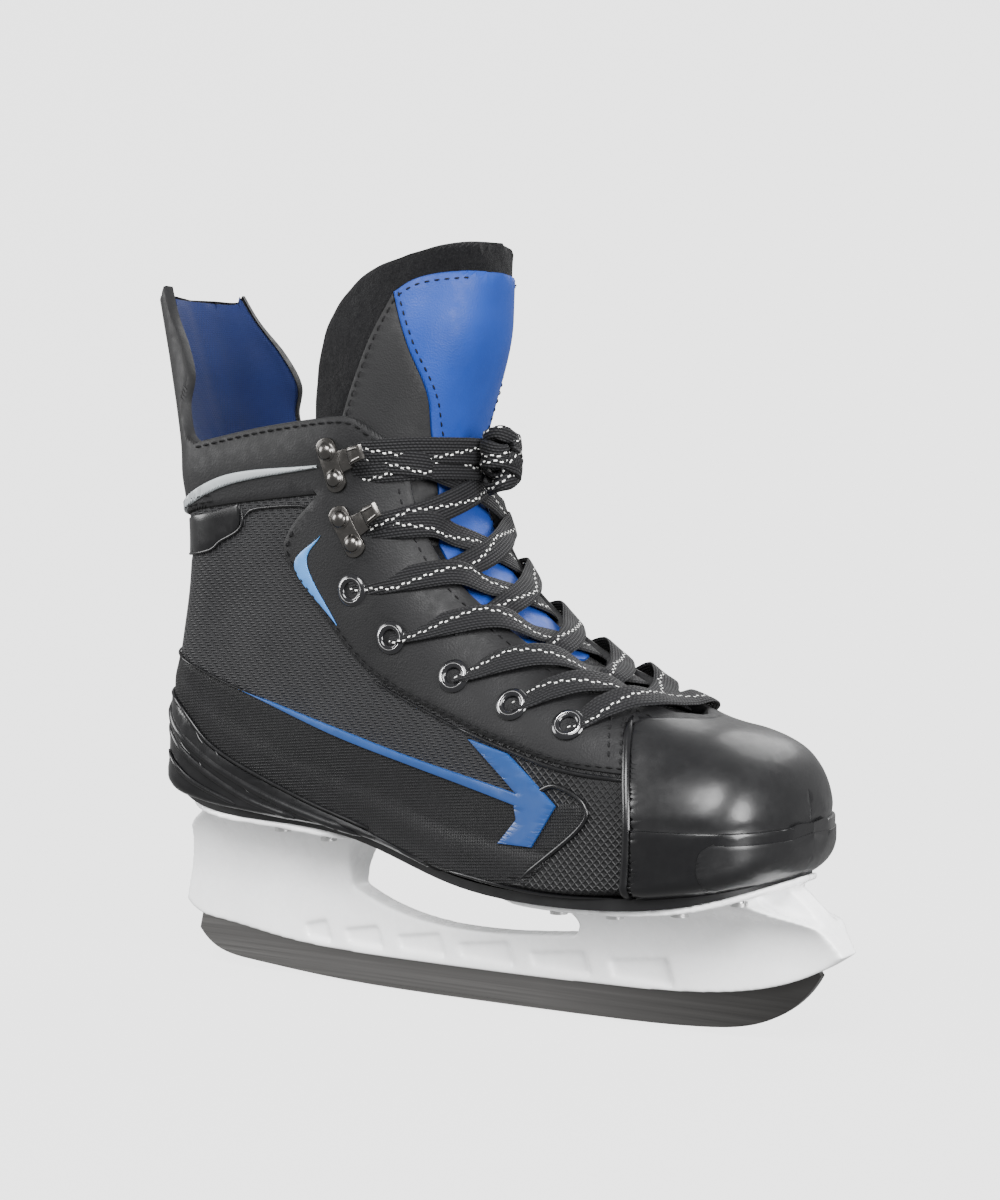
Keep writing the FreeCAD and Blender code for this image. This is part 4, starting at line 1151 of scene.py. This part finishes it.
felt_outline = loop(
    TONGUE_BACK, TONGUE_TOP, [(165, 284), (FRONT, 200), (FRONT, 118)],
    [(FRONT, 118), (250, 118), (243, 108)],
    [(243, 108), (232, 100), (200, 108), (170, 118), (140, 136), (116, 160), (100, 182),
     (91, 196)])
(felt,) = panel("tongue_felt_pad", felt_outline, FELT, 0.6, 6.4, 2.4, 2.8, "whole",
                felt_relief, body=None)
side_outline = loop(
    SIDE_BACK, BLUE_EDGE, [(141, 173), (128, 172), (112, 180)], [(112, 180), (100, 190)])
sides = panel("tongue_side", side_outline, CHARCOAL_LEATHER, 1.5, 1.6, 0.6, 2.2,
              shape=tongue_sink, body=None)
blue_outline = loop(
    BLUE_TOP, [(165, 272.6), (FRONT, 200), (FRONT, 140)], [(FRONT, 140), (200, 132)],
    [(200, 132), (170, 140), (150, 160), (141, 173)], BLUE_EDGE[::-1])
(blue,) = panel("tongue_centre", blue_outline, BLUE_LEATHER, 1.9, 1.8, 0.9, 2.2, "whole",
                tongue_sink, body=None)


def puffed(piece, cap, pressure=4.0, voxel=0.0045):
    """Let the pad swell as sewn cloth does, by no more than cap metres at any point."""
    start = np.array([tuple(v.co) for v in piece.data.vertices])
    ghost = bpy.data.objects.new("swelling", piece.data.copy())
    bpy.context.collection.objects.link(ghost)
    remesh = ghost.modifiers.new("remesh", "REMESH")
    remesh.mode, remesh.voxel_size = "VOXEL", voxel
    bpy.context.view_layer.update()
    mesh = bpy.data.meshes.new_from_object(
        ghost.evaluated_get(bpy.context.evaluated_depsgraph_get()))
    ghost.modifiers.clear()
    ghost.data = mesh
    rest = np.array([tuple(v.co) for v in mesh.vertices])
    cloth = ghost.modifiers.new("cloth", "CLOTH")
    cloth.settings.use_pressure = True
    cloth.settings.uniform_pressure_force = pressure
    cloth.settings.effector_weights.gravity = 0
    for frame_number in range(1, 21):
        bpy.context.scene.frame_set(frame_number)
    swollen = ghost.evaluated_get(bpy.context.evaluated_depsgraph_get()).to_mesh()
    moved = np.array([tuple(v.co) for v in swollen.vertices]) - rest
    tree = kdtree.KDTree(len(rest))
    for index, point in enumerate(rest):
        tree.insert(point, index)
    tree.balance()
    shift = np.zeros_like(start)
    for index, point in enumerate(start):
        near = tree.find_n(point, 4)
        weights = np.array([1 / (hit[2] + 1e-4) for hit in near])
        shift[index] = (moved[[hit[1] for hit in near]] * weights[:, None]).sum(0) / weights.sum()
    size = np.linalg.norm(shift, axis=1, keepdims=True) + 1e-12
    shift *= np.minimum(1, cap / size)
    piece.data.vertices.foreach_set("co", (start + shift).ravel())
    piece.data.update()
    bpy.data.objects.remove(ghost)
    bpy.context.scene.frame_set(1)


def sunk_rows(name, paths, lift, material):
    """Stitches laid on the tongue's own surface."""
    heap = Heap()
    for path in paths:
        line = evenly(smooth(path), 0.45)
        s, a = locate(line[:, 0], line[:, 1])
        base = skin(s, a)
        sink = tongue_sink(base, s, a)
        points = off_skin(s, a, sink + lift)
        threads(heap, points, outward(s, a), 2.4, 1.3, 0.65, 0.3)
    heap.mirror()
    return heap.build(name, material, None)


tongue_rows = sunk_rows("tongue_stitches", [
    shifted(SIDE_BACK, -2.0), shifted(BLUE_EDGE, 2.0), shifted(BLUE_TOP[:3], -2.4)],
    1.95, THREAD)
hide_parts("tongue_felt", "tongue_lower")
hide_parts("tongue_panel")
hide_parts("tongue_side_lateral")
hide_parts("tongue_side_medial")

# ------------------------------------------------------------------ eyelets, hooks, rivets


def seat_of(x, z):
    s, a = locate([x], [z])
    return skin(s, a)[0], outward(s, a)[0]


ringed, rims = Heap(), Heap()
for x, z in EYELETS:
    centre, out = seat_of(x, z)
    centre = centre - out * 0.15
    turned(ringed, centre, out, [
        (2.9, -3.2), (3.5, -3.2), (3.6, 0.1), (5.9, 0.15), (6.1, 0.45), (5.8, 0.85), (5.0, 1.3),
        (4.0, 1.45), (3.2, 1.15), (2.9, 0.5)], 36)
    turned(rims, centre, out, [
        (4.5, 1.25), (4.62, 1.4), (4.6, 1.52), (4.5, 1.56), (4.38, 1.52), (4.36, 1.4)], 36)
ringed.mirror()
rims.mirror()
eyelet_piece = ringed.build("eyelet_flanges", ENAMEL, slot="black_enamel")
rims.build("eyelet_rims", BRIGHT_RIM, slot="black_enamel")
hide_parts("eyelets_lateral", "eyelets_medial")

HOOK_RADIUS = 5.1
plates, domes = Heap(), Heap()
for upper, lower in HOOKS:
    top, out = seat_of(*upper)
    low_end, _ = seat_of(*lower)
    rise = top - low_end
    gap = float(np.linalg.norm(rise))
    up = rise / gap
    ahead = unit(np.cross(up, out))
    out = np.cross(ahead, up)
    turn = np.linspace(0, 2 * math.pi, 40, endpoint=False)
    ring = []
    for t in turn:
        cx, cy = HOOK_RADIUS * math.cos(t), HOOK_RADIUS * math.sin(t)
        waist = 1 - 0.2 * math.exp(-(cy / 3.0) ** 2)
        ring.append((cx * waist, cy + (gap if cy > 0.01 else 0 if cy < -0.01 else gap / 2)))
    for k in range(len(ring)):
        if abs(HOOK_RADIUS * math.sin(turn[k])) <= 0.01:
            ring[k] = (HOOK_RADIUS * 0.76 * math.cos(turn[k]), gap / 2)
    plate(plates, ring, 1.2, (low_end, ahead, up, out), 0.4, 0.3)
    mid = low_end + up * gap / 2
    strap = [(2.5, -4.2), (9.2, -3.6), (9.2, 3.6), (2.5, 4.2)]
    plate(plates, strap, 0.9, (mid, ahead, up, out), 0.25, 0.4)
    stand = [mid + ahead * 8.6 + out * 0.6, mid + ahead * 9.6 + out * 2.4,
             mid + ahead * 10.2 + out * 4.4, mid + ahead * 12.2 + out * 5.6,
             mid + ahead * 15.6 + out * 5.9, mid + ahead * 17.0 + out * 5.2]
    bent = evenly(smooth(stand), 0.7)
    facing_out = unit(np.cross(np.gradient(bent, axis=0), up)) * -1
    plates.add(*sweep(bent, facing_out, np.linspace(7.4, 5.6, len(bent)), 0.95, 12, 5.0))
    for edge in (-3.0, 3.0):
        rail = [p + up * edge * (1 - 0.1 * k) + (ahead * 0.1 + out * 0.5)
                for k, p in enumerate(stand[:5])]
        rail = evenly(smooth(rail), 0.8)
        plates.add(*sweep(rail, unit(np.cross(np.gradient(rail, axis=0), up)) * -1, 0.9, 0.9, 8))
    for y in (0.0, gap):
        centre = low_end + up * y + out * 1.45
        turned(domes, centre, out, [
            (0, -0.2), (3.5, -0.2), (3.65, 0.15), (3.4, 0.45), (3.1, 0.6), (2.9, 1.2), (2.3, 1.8),
            (1.4, 2.25), (0.6, 2.42), (0, 2.45)], 28)
plates.mirror()
domes.mirror()
hook_piece = plates.build("hook_plates", NICKEL, slot="nickel", angle=35)
dome_piece = domes.build("hook_domes", NICKEL, slot="nickel")
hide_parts("hook_upper_lateral", "hook_lower_lateral", "hook_upper_medial",
            "hook_lower_medial")
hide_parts("hook_rivets_lateral", "hook_rivets_medial")

# ------------------------------------------------------------------ lace


EYELET_LIFT = 3.0   # how far a lace stands off the leather beside its eyelet
LACE_THICK = 1.5


def over_front(s, y, lift):
    """Point over the front half of sections s at distance y from the middle."""
    s, y = np.asarray(s, float), np.asarray(y, float)
    a = across_front(s, np.minimum(np.abs(y), 41))
    p = skin(s, a) + outward(s, a) * np.asarray(lift, float)[:, None]
    p[:, 1] = y
    return p


def lace_run(heap, start, end, middle_lift, u_start, stop=None, under=True, puff=2.4,
             width=10.0):
    """Flat lace out of an eyelet or hook at start, over the gap to the other side."""
    (s0,), (a0,) = locate([start[0]], [start[1]])
    (s1,), (a1,) = locate([end[0]], [end[1]])
    y0 = skin([s0], np.array([a0]))[0, 1]
    y1 = stop if stop is not None else -skin([s1], np.array([a1]))[0, 1]
    if under:
        y1 = gap_half(skin([s1], np.array([a1]))[0, 0]) + 3.0
    k = np.linspace(0, 1, 40)
    y = y0 + (y1 - y0) * k
    s = s0 + (s1 - s0) * (0.35 * k + 0.65 * k * k * (3 - 2 * k))
    gap = gap_half(over_front(s, y, np.zeros(40))[:, 0])
    proud = np.clip((np.abs(y) - gap + 10) / 13, 0, 1)
    proud = proud * proud * (3 - 2 * proud)
    lift = middle_lift + (EYELET_LIFT - middle_lift) * proud
    if under:
        tuck = np.clip((y - gap + 9) / 9, 0, 1)
        lift = np.where(y > 0, middle_lift - (4.2 + middle_lift) * tuck, lift)
    lift = lift + puff * np.exp(-((k - 0.16) / 0.1) ** 2)
    rise = np.clip(k / 0.07, 0, 1)
    lift = np.where(k < 0.07, -1.5 + (lift + 1.5) * rise, lift)
    path = over_front(s, y, lift)
    up = unit(over_front(s, y, lift + 1.0) - path)
    lean = np.exp(-((k - 0.14) / 0.16) ** 2)[:, None]
    up = unit(up + lean * np.array([0.25, -0.9, 0.1]))
    tight = width * (0.62 + 0.38 * np.clip(k / 0.08, 0, 1) ** 0.7)
    heap.add(*sweep(path, up, tight, LACE_THICK, 14, 3.2, u_start))


def flip_last(heap):
    """Move the last shape to the other side."""
    heap.verts[-1] = flip_y(heap.verts[-1])
    n = len(heap.verts[-1])
    first = heap.count - n
    for k in range(len(heap.faces) - 1, -1, -1):
        if min(heap.faces[k]) < first:
            break
        heap.faces[k] = tuple(reversed(heap.faces[k]))


LOW_HOOK, TOP_HOOK = (117, 177), (113, 202)   # where laces leave the hooks
stops = [LOW_HOOK] + EYELETS
outer_laces, inner_laces = Heap(), Heap()
for number, (high, low) in enumerate(zip(stops, stops[1:])):
    lace_run(outer_laces, high, low, -2.4, 13.0 * number)
    lace_run(inner_laces, high, low, 0.2, 7.0 + 17.0 * number)
    flip_last(inner_laces)
lace_outer = outer_laces.build("lace_outer_side", LACE, slot="lace")
lace_inner = inner_laces.build("lace_inner_side", LACE, slot="lace")
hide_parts("lace_strands_lateral")
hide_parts("lace_strands_medial")
bar = Heap()
lace_run(bar, EYELETS[4], (212, 107), 1.2, 21.0, under=False, puff=2.6)
bar_piece = bar.build("lace_bar", LACE, slot="lace")
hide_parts("lace_first_bar")

hook_laces = Heap()
lace_run(hook_laces, TOP_HOOK, LOW_HOOK, -0.4, 5.0, under=False)
lace_run(hook_laces, TOP_HOOK, LOW_HOOK, 1.4, 31.0, under=False)
flip_last(hook_laces)
hook_lace = hook_laces.build("lace_hooks", LACE, slot="lace")
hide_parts("lace_hook_strands")

top_laces = Heap()
for turn in range(2):
    lace_run(top_laces, (112, 205), (142, 207), 4.4, 2.0 + 13 * turn, stop=-1.0, under=False,
             puff=0.6)
    if turn:
        flip_last(top_laces)
    lace_run(top_laces, (113, 198), (142, 200), 3.0, 26.0 + 9 * turn, stop=-1.0, under=False,
             puff=0.4, width=8.5)
    if turn:
        flip_last(top_laces)
top_lace = top_laces.build("lace_top", LACE, slot="lace")
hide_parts("lace_top_strands")


def knot_piece():
    """Pulled knot of interlaced flat folds."""
    heap = Heap()
    centre = np.array([151.5, 0.0, 203.0])
    bands = [
        # radius across, radius along the view out, lean, middle height, start, sweep, width
        (8.2, 6.4, 0.15, 4.6, -0.2, 6.0, 7.5), (8.0, 6.8, -0.5, -3.0, 0.8, 6.0, 7.5),
        (7.0, 7.4, 1.25, 0.5, 0.3, 6.1, 8.0), (5.6, 5.6, 0.5, -7.6, 2.0, 5.6, 6.0),
        (6.0, 6.0, -0.15, 8.4, 3.0, 5.8, 6.0)]
    for k, (wide, deep, lean, height, start, arc, band) in enumerate(bands):
        t = np.linspace(start, start + arc, 40)
        ring = np.stack([deep * np.cos(t), wide * np.sin(t), 0.9 * np.sin(2 * t + k)], -1)
        turn = np.array([[1, 0, 0], [0, math.cos(lean), -math.sin(lean)],
                         [0, math.sin(lean), math.cos(lean)]])
        ring = ring @ turn.T
        up = unit(ring * np.array([1, 1, 0.6]))
        path = centre + ring + np.array([0, 0, height])
        heap.add(*sweep(path, up, band * (0.85 + 0.15 * np.sin(3 * t + k)), 1.9, 14, 2.6, 11.0 * k))
    obj = heap.build("lace_tied_knot", LACE, slot="lace")
    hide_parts("lace_knot")


knot_piece()

# ------------------------------------------------------------------ tongue felt swells

puffed(felt, 0.0004)
for piece in [felt, blue, tongue_rows] + sides:
    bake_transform(piece)

# ------------------------------------------------------------------ holder, blade and sole


def softened(node, name, voxel, rounds, material):
    """Moulded copy of a CAD node with its edges rounded."""
    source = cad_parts[node]
    copy = bpy.data.objects.new(name, source.data.copy())
    bpy.context.collection.objects.link(copy)
    copy.data.materials.clear()
    remesh = copy.modifiers.new("remesh", "REMESH")
    remesh.mode, remesh.voxel_size = "VOXEL", voxel
    relax = copy.modifiers.new("relax", "SMOOTH")
    relax.factor, relax.iterations = 0.5, rounds
    bpy.context.view_layer.update()
    mesh = bpy.data.meshes.new_from_object(
        copy.evaluated_get(bpy.context.evaluated_depsgraph_get()))
    mesh.name = name
    bpy.data.objects.remove(copy)
    obj = bpy.data.objects.new(name, mesh)
    bpy.context.collection.objects.link(obj)
    mesh.materials.clear()
    mesh.materials.append(material)
    mesh.polygons.foreach_set("use_smooth", [True] * len(mesh.polygons))
    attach(obj, "boot")
    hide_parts(node)
    return obj


holder = softened("blade_holder", "holder_moulding", 0.00075, 14, HOLDER_WHITE)

CAD_PAINT = {"blade": BLADE_STEEL, "sole_rivets": RIVET_STEEL, "blade_bolts": RIVET_STEEL,
             "outsole": SOLE_BLACK, "insole_board": BOARD}
for node, paint in CAD_PAINT.items():
    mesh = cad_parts[node].data
    mesh.materials.clear()
    mesh.materials.append(paint)

# ------------------------------------------------------------------ stage, light, camera

def sweep_stage():
    """Pale floor that curves up into a backdrop."""
    paint = Paint("studio_paper", (0.11, 0.11, 0.11), Roughness=0.95, Specular_IOR_Level=0.1)
    grainy = paint.noise(9.0, 2.0)
    paint.colour(paint.mix(grainy, (0.11, 0.11, 0.11), (0.115, 0.115, 0.115)))
    paint.shader.inputs["Emission Color"].default_value = (1, 1, 1, 1)
    paint.shader.inputs["Emission Strength"].default_value = STAGE_GLOW
    away = Vector((-0.5475, 0.8368))
    side = Vector((0.8368, 0.5475))
    profile = [(-0.45, 0.0), (0.6, 0.0)]
    profile += [(0.6 + 1.2 * math.sin(t), 1.2 - 1.2 * math.cos(t))
                for t in np.linspace(0.1, math.pi / 2, 14)]
    profile.append((1.8, 6.0))
    floor_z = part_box("blade")[0].z - 0.0005
    verts, faces = [], []
    for run, height in profile:
        for across in np.linspace(-6, 6, 9):
            p = away * run + side * across
            verts.append((p.x, p.y, floor_z + height))
    for r in range(len(profile) - 1):
        for c in range(8):
            faces.append((r * 9 + c, r * 9 + c + 1, (r + 1) * 9 + c + 1, (r + 1) * 9 + c))
    obj = new_object("studio_sweep", verts, faces, paint.material)
    obj.visible_diffuse = False
    obj.visible_glossy = False


def soft_light(name, place, size, power):
    light = bpy.data.lights.new(name, "AREA")
    light.shape, light.size, light.energy = "DISK", size, power
    obj = bpy.data.objects.new(name, light)
    obj.location = place
    obj.rotation_euler = (Vector(LIGHT_TARGET) - Vector(place)).to_track_quat("-Z", "Y").to_euler()
    bpy.context.collection.objects.link(obj)


STAGE_GLOW = 2.7
LIGHT_TARGET = (0.0, 0.0, 0.14)
sweep_stage()
soft_light("key_light", (0.55, -1.35, 1.35), 1.1, 80)
soft_light("side_light", (-1.5, -0.9, 0.7), 1.0, 36)
soft_light("front_light", (1.6, -0.5, 0.45), 0.9, 60)
soft_light("back_light", (0.2, 1.3, 1.3), 1.4, 25)
world = bpy.data.worlds.new("studio")
world.use_nodes = True
world.node_tree.nodes["Background"].inputs["Color"].default_value = (1, 1, 1, 1)
world.node_tree.nodes["Background"].inputs["Strength"].default_value = 0.5
bpy.context.scene.world = world

camera = bpy.data.cameras.new("camera")
camera.lens = 66
camera.sensor_width = 36
eye = bpy.data.objects.new("camera", camera)
eye.location = (0.4597, -0.6857, 0.1796)
eye.rotation_euler = (Vector((0.011, 0, 0.151)) - eye.location).to_track_quat(
    "-Z", "Y").to_euler()
bpy.context.collection.objects.link(eye)
bpy.context.scene.camera = eye
